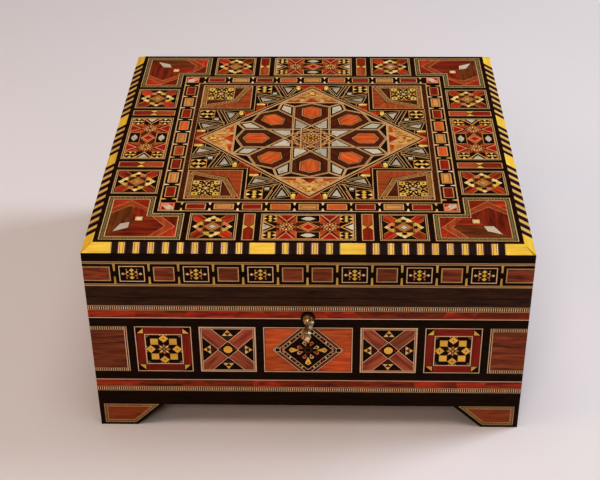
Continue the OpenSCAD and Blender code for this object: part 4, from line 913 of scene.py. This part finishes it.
def cross_panel(pen):
    """Four rosewood arms that meet at a yellow octagon, with pyramids of light triangles."""
    edge = pen.nest(rect(panel_w, panel_h),
                    (("frameline", 0.9), ("wenge", 0.35), ("frameline", 0.4)), "wenge")
    x, y, b = panel_w / 2 - edge, panel_h / 2 - edge, 3.75
    for flip in (False, True):
        for turn in (0, 180):
            pen.at(turn=turn, flip=flip).paint(
                ("frameline", half_arm(x, y, b + 0.38), 0, 45),
                ("rose", half_arm(x, y, b), (-0.9, 1.2), 45))
    for k, side in enumerate(pen.around(4)):
        q = side.at(0, (x if k % 2 else y) - 4.7)
        for kind, u, v in (("gold", 0, 2.2), ("cream", -1.65, -0.1), ("cream", 1.65, -0.1)):
            q.fill(kind, [(u - 1.551, v), (u + 1.551, v), (u, v + 2.2)], (-0.6, 0.1))
        q.paint(("crimson", [(-0.95, 2), (0.95, 2), (0, 0.1)], -0.3),
                ("maroon", [(-2.6, -0.7), (2.6, -0.7), (0, -3.3)], -0.3))
    pen.paint(("frameline", rhomb(6.2, 6.2)), ("wenge", rhomb(5.7, 5.7)))
    for q in pen.around(4):
        q.fill("crimson", rhomb(0.75, 0.9, 0, 3.8), -0.4)
    pen.fill("gold", ngon(8, 2.5), 0.3)


def star_panel(pen):
    """A red frame with black corners round a field of yellow squares and a flower."""
    band, w, h = 4.6, panel_w, panel_h
    edge = pen.nest(rect(w, h), (("frameline", 0.55), ("wenge", 0.3)), "crimson", -0.2)
    iw, ih = w - 2 * (band + edge), h - 2 * (band + edge)
    mid_x, mid_y, e = (w - band) / 2 - edge, (h - band) / 2 - edge, band / 2 - 0.5
    for k, q in enumerate(pen.around(4)):
        q.fill("crimson", rect(ih, band, 0, mid_x) if k % 2 else rect(iw, band, 0, mid_y),
               (-0.9, 0.3))
    for sx, sy in CORNERS:
        pen.at(sx * mid_x, sy * mid_y).paint(
            ("wenge", rect(band, band)),
            ("gold", [(-sx * e, -sy * e), (sx * e, -sy * e), (-sx * e, sy * e)], -0.3))
    pen.nest(rect(iw, ih), (("frameline", 0.6),), "wenge")
    for sx, sy in CORNERS:
        x, y = sx * (iw / 2 - 1), sy * (ih / 2 - 1)
        pen.paint(("gold", rect(4.4, 4.4, sx * iw / 4, sy * ih / 4), (-0.5, 0.3)),
                  ("crimson", rhomb(0.7, 0.7, sx * 2.9, sy * 2.9), 0.6),
                  ("green", [(x, y), (x - 1.8 * sx, y), (x, y - 1.8 * sy)], -0.9))
    for k, q in enumerate(pen.around(4)):
        far = (iw if k % 2 else ih) / 3 + 0.4
        q.paint(("gold", rhomb(2.9, 2.9, 0, far), (-0.5, 0.3)),
                ("maroon", rhomb(0.5, 0.5, 0, far)))
        for s in (-1, 1):
            q.fill("cream", mirror(s, (1.1, far + 3), (2.6, far + 3), (1.9, far + 1.9)), -0.4)
    for k, q in enumerate(pen.around(8)):
        q.fill("cream" if k % 2 else "tan", [(-0.72, 2.3), (0, 0.9), (0.72, 2.3), (0, 3.9)], 0.2)
        q.at(turn=22.5).fill("crimson", rhomb(0.35, 0.5, 0, 2.9), 1)
    pen.fill("tan", ngon(8, 0.7))


def clipped(r, top):
    """A square of half diagonal r on its point, cut off at the heights -top and top."""
    x = r - top
    return [(r, 0), (x, top), (-x, top), (-r, 0), (-x, -top), (x, -top)]


def centre_panel(pen):
    """Orange wood round a turned square: a red band, a chain of checks and a star."""
    edge = pen.nest(rect(centre_w, panel_h), (("frameline", 0.6), ("wenge", 0.35)), "orange", -0.5)
    r, top, side = centre_r, panel_h / 2 - edge, centre_w / 2 - edge
    for sx, sy, tone in ((-1, 1, 0.6), (1, 1, -0.1), (-1, -1, -0.2), (1, -1, 0.5)):
        pen.fill("orange", [(0, 0), (sx * side, 0), (sx * side, sy * top), (0, sy * top)], tone)
    for kind, depth, tone in (("wenge", -0.4, 0), ("frameline", 0, 0.3), ("walnut", 0.6, 0.2),
                              ("frameline", 2.9, 0), ("wenge", 3.45, 0), ("frameline", 5.9, 0),
                              ("wenge", 6.4, 0)):
        d = r - depth
        pen.fill(kind, clipped(d, top) if d > top else rhomb(d, d), tone)
    c = r - 4.7
    x1, y1, x2, y2 = c - 1.2, 1.2, max(c - top + 0.4, 0.8), min(top - 0.4, c - 0.8)
    for sx, sy in CORNERS:
        for i in range(8):
            f = (i + 0.5) / 8
            pen.fill(("pink", "green", "cream", "crimson")[i % 4],
                     rhomb(0.8, 0.8, sx * (x1 + (x2 - x1) * f), sy * (y1 + (y2 - y1) * f)), -0.2)
    for s in (-1, 1):
        pen.at(s * (r - 3)).nest(rect(3.3, 3.3), (("frameline", 0.45),), "wenge")
        for y in (-0.9, 0.9):
            pen.fill("pink", rhomb(0.8, 0.8, s * (r - 6.1), y), -0.3)
    for q in pen.around(4):
        q.paint(("gold", [(-1.9, 9.7), (0, 4.9), (1.9, 9.7), (0, 11.2)], (-0.3, 0.3)),
                ("wenge", [(-0.6, 10), (0, 8.9), (0.6, 10)]))
    for k, q in enumerate(pen.around(8, 22.5)):
        q.paint(("pink" if k % 2 else "cream", [(-1.35, 5.9), (0, 3), (1.35, 5.9), (0, 6.9)], -0.2),
                ("crimson", [(-0.9, 5.8), (0, 3.8), (0.9, 5.8)], 0.2))
    pen.paint(("wenge", star(8, 3.6, 2.7)), ("maroon", ngon(8, 2.3), -0.2), ("wenge", ngon(8, 1.3)))


def stringing(pen, x1, x2, y, height):
    """Dotted stringing: two light lines with a row of ticks between them."""
    line = height * 0.13
    pen.paint(("boxwood", box2(x1, y, x2, y + height)),
              ("wenge", box2(x1, y + line, x2, y + height - line)))
    pen.dots("frameline", (x1, y + height / 2), (x2, y + height / 2), 1.25, 0.6, height * 0.62)


def red_band(pen, half, y):
    """A band of veneer pieces laid end to end with slanted joints, each with its own tone."""
    u, lean = -half, 0.0
    while u < half - 0.1:
        step = min(rng.uniform(14, 34), half - u)
        if half - u - step < 10:
            step = half - u
        next_lean = rng.uniform(-7, 7) if u + step < half - 0.1 else 0.0
        pen.fill("padauk", [(u, y), (u + step, y), (u + step + next_lean, y + band_h),
                            (u + lean, y + band_h)], (-1.5, 0.4))
        u, lean = u + step, next_lean


def hinge_gaps(pen, y):
    """Leaves out the veneer where the two hinges are."""
    for s in (-1, 1):
        pen.fill(None, rect(hinge_l, 2 * leaf_t, s * hinge_x, y))


def wall(half, keyhole, hinges):
    """One side of the case."""
    pen = Pen("wall")
    # The band just under the lid is laid in the lighter, redder wenge. This is painted light,
    # together with the band's own redder streaks.
    pen.paint(("wenge", box2(-half, foot_h, half, seam_z)),
              ("seam", box2(-half, upper_string, half, seam_z)))
    stringing(pen, -half, half, upper_string, string_h)
    stringing(pen, -half, half, lower_string, string_h)
    red_band(pen, half, upper_band)
    red_band(pen, half, lower_band)
    for y in (upper_line, lower_line):
        pen.fill("frameline", box2(-half, y + 0.1, half, y + line_t - 0.1))
    centre_panel(pen.at(0, panel_mid))
    for s in (1, -1):
        cross_panel(pen.at(s * cross_u, panel_mid, flip=s < 0))
        star_panel(pen.at(s * star_u, panel_mid, flip=s < 0))
        q = pen.at(flip=s < 0)
        q.paint(("frameline", box2(end_u, panel_bottom, half, panel_top)),
                ("wenge", box2(end_u + 0.5, panel_bottom, end_u + 1.1, panel_top)),
                ("rosewood", box2(end_u + 1.6, panel_bottom, half, panel_top), (0.2, 0.9)))
        for y in (panel_bottom, panel_top - 2.5):
            stringing(q, end_u + 1.7, half, y, 2.5)
    if keyhole:
        pen.at(0, key_z).fill(None, [polar(collar_r, 7.5 * i) for i in range(48)])
    if hinges:
        hinge_gaps(pen, seam_z)
    return pen.cut()


def cell_edges(half):
    """Where the yellow bars stand, from the middle outwards. The first cell is rosewood."""
    edges, u = [], 0.0
    while u < half - cell_room:
        edges.append(u)
        u += cell_rose if len(edges) % 2 else cell_mosaic
    return edges


def mosaic_tile(pen):
    """Three yellow pieces in a column, with small triangles on both sides."""
    pen.nest(rect(14.4, 10.6), (("frameline", 0.6),), "wenge")
    for y in (-2.5, 0, 2.5):
        pen.fill("yellow", rhomb(1.45, 1.25, 0, y), 0.3)
    for s in (-1, 1):
        for kind, y in (("pink", -1.25), ("cream", 1.25)):
            pen.fill(kind, mirror(s, (1.3, y), (3.1, y - 0.95), (3.1, y + 0.95)), 0.3)
        pen.paint(("cream", rhomb(1.1, 0.95, s * 4.9), -0.3),
                  ("pink", rhomb(0.6, 0.6, s * 3.3), 0.5),
                  ("tan", rhomb(0.6, 0.6, s * 2.9, 2.9)), ("tan", rhomb(0.6, 0.6, s * 2.9, -2.9)))


def lid_side(half, hinges):
    """One side of the lid: tiles and yellow bars between two light lines."""
    pen = Pen("lid_side")
    # The lid's lowest band is laid in the lighter, redder wenge. This is painted light, together
    # with the band's own redder streaks.
    pen.paint(("wenge", box2(-half, lid_z, half, edge_z)),
              ("seam", box2(-half, lid_z, half, side_low)))
    for y in (side_low, side_top):
        pen.paint(("elm", box2(-half, y, half, y + side_line)),
                  ("walnut", box2(-half, y + 0.68, half, y + 1.02), 0.6))
    edges = cell_edges(half)
    reach, h = side_field / 2, (side_field - tile_margin) / 2
    for flip in (False, True):
        q = pen.at(0, side_mid, flip=flip)
        for u in edges[1:] if flip else edges:
            for s in (-1, 1):
                y1, y2 = s * reach, s * (reach - bar_l)
                q.fill("straw", [(u - 0.7, y1), (u + 0.7, y1), (u + 0.5, y2), (u - 0.5, y2)],
                       (-0.6, 0.6), 90)
        for i, (u1, u2) in enumerate(zip(edges, edges[1:])):
            cell = q.at((u1 + u2) / 2)
            if i % 2:
                mosaic_tile(cell)
            else:
                tile(cell, "rosewood", cell_rose - cell_gap, 2 * h, 0.7, (-0.3, 0.8))
        end = edges[-1] + 2.3
        q.paint(("boxwood", box2(end, -h, half, h)),
                ("rosewood", box2(end + 0.7, 0.7 - h, half, h - 0.7), 0.4))
    if hinges:
        hinge_gaps(pen, lid_z)
    return pen.cut()


def foot_sheet():
    """The inlay of one plate of a foot: a dotted ring round copper wood."""
    pen, tone = Pen("feet"), rng.uniform(-0.4, 0.5)
    outline = [(2.75, 1.6), (foot_toe - 1, 1.6), (foot_top - 3, foot_h), (2.75, foot_h)]
    line, gap = 0.5, 1.1
    pen.dotted_ring(outline, line, gap)
    pen.fill("copper", inset(outline, 2 * line + gap), tone)
    return pen.cut()


# ---- Chamfer banding: x along the side from its middle, y up the slope ----

# The woods between two dark pieces, with their shares of the gap
STRIPES = (("walnut", 0.13), ("frameline", 0.13), ("walnut", 0.06), ("yellow", 0.36),
           ("walnut", 0.06), ("frameline", 0.13), ("walnut", 0.13))


def stripe_run(pen, u1, u2):
    """Dark pieces at even steps from u1 to u2, with stripes between them."""
    n = max(1, round((u2 - u1 - band_dark) / band_pitch))
    pitch = (u2 - u1 - band_dark) / n
    gap = pitch - band_dark
    for i in range(n + 1):
        u = u1 + i * pitch
        pen.fill("wenge", box2(u, 0, u + band_dark, slope), grain=90)
        u += band_dark
        for kind, share in STRIPES if i < n else ():
            pen.fill(kind, box2(u, 0, u + gap * share, slope), (-0.6, 0.4), 90)
            u += gap * share


def banding(half):
    """Three runs of stripes on one side of the chamfer, with plain yellow blocks between them."""
    pen = Pen("edge")
    pen.fill("yellow", [(-half, 0), (half, 0), (half - chamfer_w, slope),
                        (chamfer_w - half, slope)], 0.2)
    middle = band_middle / 2
    long1, long2 = middle + band_plain, half - band_corner
    stripe_run(pen, -middle, middle)
    stripe_run(pen, long1, long2)
    stripe_run(pen.at(flip=True), long1, long2)
    for s in (-1, 1):
        for u in (middle, long1, long2):
            pen.fill("boxwood", box2(s * u - 0.3, 0, s * u + 0.3, slope), grain=90)
    return pen.cut()


# ---- Lay every sheet on the box ----

SIDES = ("front", "right", "back", "left")


def turned(v, k):
    """v after k quarter turns about the upright axis."""
    for _ in range(k):
        v = (-v[1], v[0], v[2])
    return v


def side_face(k, z=None):
    """The k-th side's face, or with z the chamfer that starts at that height."""
    half = (box_w if k % 2 else box_d) / 2
    out, along = turned((0, -1, 0), k), turned((1, 0, 0), k)
    origin = (centre_x + out[0] * half, centre_y + out[1] * half, z or 0)
    if z is None:
        return Face(origin, along, (0, 0, 1), [-c * piece_t for c in out])
    rise = (-out[0] * chamfer_w / slope, -out[1] * chamfer_w / slope, chamfer_h / slope)
    foot = piece_t * chamfer_w / chamfer_h
    return Face(origin, along, rise, [-c * foot for c in out], (0, 0, -piece_t), slope)


for k, side_name in enumerate(SIDES):
    length = (box_d if k % 2 else box_w) / 2
    # The side veneers end behind those of the front and the back
    half = length - veneer_t if k % 2 else length
    lay(wall(half, k == 0, k == 2), side_face(k), "case", side_name)
    lay(lid_side(half, k == 2), side_face(k), "lid", "lid_" + side_name)
    lay(banding(length), side_face(k, edge_z), "lid")
    for s in (-1, 1):
        place = side_face(k)
        place.origin += place.ux * s * length
        pieces = foot_sheet()
        if s > 0:
            pieces = [(f, {v: (-x, y) for v, (x, y) in spots.items()}, [p[::-1] for p in faces])
                      for f, spots, faces in pieces]
        lay(pieces, place, "case")
lay(lid_top(), Face((centre_x, centre_y, box_h), (1, 0, 0), (0, 1, 0), (0, 0, -piece_t)), "lid")

# The CAD nodes that each mesh stands for
STANDS_FOR = {
    ("front", "wenge"): ["front_veneer"], ("right", "wenge"): ["right_veneer", "panel_fields"],
    ("back", "wenge"): ["back_veneer"], ("left", "wenge"): ["left_veneer"],
    ("front", "padauk"): ["red_bands"], ("front", "boxwood"): ["dotted_stringing", "panel_frames"],
    ("front", "rosewood"): ["panel_rosewood"], ("front", "orange"): ["orange_panels"],
    ("front", "gold"): ["panel_yellow_inlays"],
    ("lid_front", "wenge"): ["lid_side_veneers"], ("lid_front", "rosewood"): ["lid_side_rosewood"],
    ("lid_front", "straw"): ["lid_side_yellow"],
    ("edge", "wenge"): ["edge_banding_dark"], ("edge", "yellow"): ["edge_banding_light"],
    ("border", "boxwood"): ["lid_lines"], ("lid_ground", "wenge"): ["lid_ground"],
    ("border", "walnut"): ["lid_corner_blocks"], ("border", "crimson"): ["lid_red_inlays"],
    ("border", "orange"): ["lid_orange_inlays"], ("border", "pearl"): ["lid_pearl_inlays"],
    ("border", "straw"): ["lid_yellow_inlays"], ("medallion", "burl"): ["diamond_frame"],
    ("medallion", "tan"): ["medallion_straps"], ("medallion", "maroon"): ["medallion_petals"],
    ("medallion", "orange"): ["medallion_hexagons"], ("medallion", "straw"): ["medallion_rosette"],
}

for (area_name, wood_name, body), data in stock.items():
    material, slot_name = WOODS[wood_name]
    mesh = bpy.data.meshes.new(f"{area_name}_{wood_name}")
    mesh.from_pydata([tuple(v) for v in data["v"]], [], data["f"])
    layer = mesh.uv_layers.new(name="grain")
    layer.data.foreach_set("uv", [c for uv in data["uv"] for c in uv])
    mesh.attributes.new("tone", "FLOAT", "FACE").data.foreach_set("value", data["tone"])
    mesh.materials.append(material)
    piece = bpy.data.objects.new(f"{area_name}_{wood_name}", mesh)
    bpy.context.scene.collection.objects.link(piece)
    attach(piece, body)
    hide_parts(*STANDS_FOR.get((area_name, wood_name), []))

# ---- Materials of the CAD nodes that stay ----


def dress(material, *names):
    for name in names:
        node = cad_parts[name]
        if not node.data.materials:
            node.data.materials.append(material)
        for slot in node.material_slots:
            slot.material = material


dress(board("pine_along_x", (206, 160, 108), (164, 112, 66), 0),
      "case_front", "case_back", "case_bottom", "lid_front_rail", "lid_back_rail", "lid_board")
dress(board("pine_along_y", (206, 160, 108), (164, 112, 66), 1),
      "case_left", "case_right", "lid_left_rail", "lid_right_rail")
dress(board("pine_upright", (198, 150, 100), (154, 104, 62), 2), "foot_blocks")
dress(board("wenge_solid", (44, 23, 10), (16, 8, 3), 0, 0.5, 0.03, 0.04),
      "foot_front_left", "foot_front_right", "foot_back_left", "foot_back_right")
dress(velvet("lining_velvet", (134, 24, 34), (96, 13, 22), (206, 116, 116)),
      "floor_lining", "wall_lining", "lid_lining")
dress(metal("aged_brass", (246, 236, 204), (186, 168, 124), 0.26),
      "key", "hinge_case_leaves", "hinge_lid_leaves", "hinge_pins", "case_screws", "lid_screws")
dress(metal("lock_brass", (214, 178, 104), (140, 106, 56), 0.34, 180),
      "lock_case", "lock_cap", "lock_bolt", "lock_barrel", "lock_link")
dress(metal("blackened_brass", (62, 50, 42), (22, 18, 16), 0.42), "keyhole_collar")

# ---- Floor, light and camera ----


def floor():
    m = Nodes("pale_floor")
    soft = m.noise(m.new("TexCoord", "Object"), (3, 3, 3), 3, 0.5)
    m.set(Base_Color=m.ramp(soft, (0.3, (0.72, 0.69, 0.70)), (0.7, (0.745, 0.715, 0.725))),
          Roughness=0.75)
    mesh = bpy.data.meshes.new("floor")
    mesh.from_pydata([(x, y, 0) for x, y in rect(12, 12)], [], [(0, 1, 2, 3)])
    mesh.materials.append(m.material)
    plane = bpy.data.objects.new("floor", mesh)
    bpy.context.scene.collection.objects.link(plane)


def area_light(name, place, aim, size, power, colour):
    lamp = bpy.data.lights.new(name, "AREA")
    lamp.shape, lamp.size, lamp.energy, lamp.color = "DISK", size, power, colour
    holder = bpy.data.objects.new(name, lamp)
    bpy.context.scene.collection.objects.link(holder)
    holder.location = place
    holder.rotation_euler = (Vector(aim) - Vector(place)).to_track_quat("-Z", "Y").to_euler()


floor()
world = bpy.data.worlds.new("room")
bpy.context.scene.world = world
world.use_nodes = True
world.node_tree.nodes["Background"].inputs["Color"].default_value = (1.0, 0.86, 0.76, 1)
world.node_tree.nodes["Background"].inputs["Strength"].default_value = 0.15
area_light("window", (1.75, 0.45, 1.35), (0, 0, 0.06), 0.9, 32.0, (0.80, 0.88, 1.0))
area_light("ceiling", (0.0, -0.28, 2.1), (0, 0, 0.1), 1.5, 20.0, (1.0, 0.95, 0.92))
area_light("lamp", (-1.25, -0.35, 0.8), (-0.2, -0.1, 0), 0.5, 3.8, (1.0, 0.52, 0.25))
area_light("room", (-0.36, -1.66, 1.28), (0, 0, 0.08), 0.7, 8.2, (1.0, 0.89, 0.79))

# The camera, fitted to the photo: angles in degrees, focal length in picture widths
VIEW_AZIMUTH, VIEW_HEIGHT, VIEW_ROLL, VIEW_DISTANCE = 1.614, 33.474, -0.616, 0.840
VIEW_AIM, FOCAL = Vector((-0.0075, centre_y * MM, 0.0512)), 1268.3 / 600
az, el, roll = (math.radians(v) for v in (VIEW_AZIMUTH, VIEW_HEIGHT, VIEW_ROLL))
back = Vector((math.sin(az) * math.cos(el), -math.cos(az) * math.cos(el), math.sin(el)))
right = Vector((math.cos(az), math.sin(az), 0))
up = back.cross(right)
axes = Matrix((right * math.cos(roll) + up * math.sin(roll),
               up * math.cos(roll) - right * math.sin(roll), back)).transposed()
camera = bpy.data.objects.new("camera", bpy.data.cameras.new("camera"))
bpy.context.scene.collection.objects.link(camera)
camera.data.sensor_width, camera.data.lens = 36.0, 36.0 * FOCAL
camera.matrix_world = Matrix.Translation(VIEW_AIM + back * VIEW_DISTANCE) @ axes.to_4x4()
bpy.context.scene.camera = camera
bpy.context.scene.view_settings.view_transform = "Standard"
bpy.context.scene.view_settings.look = "Medium High Contrast"
bpy.context.scene.view_settings.exposure = -0.2
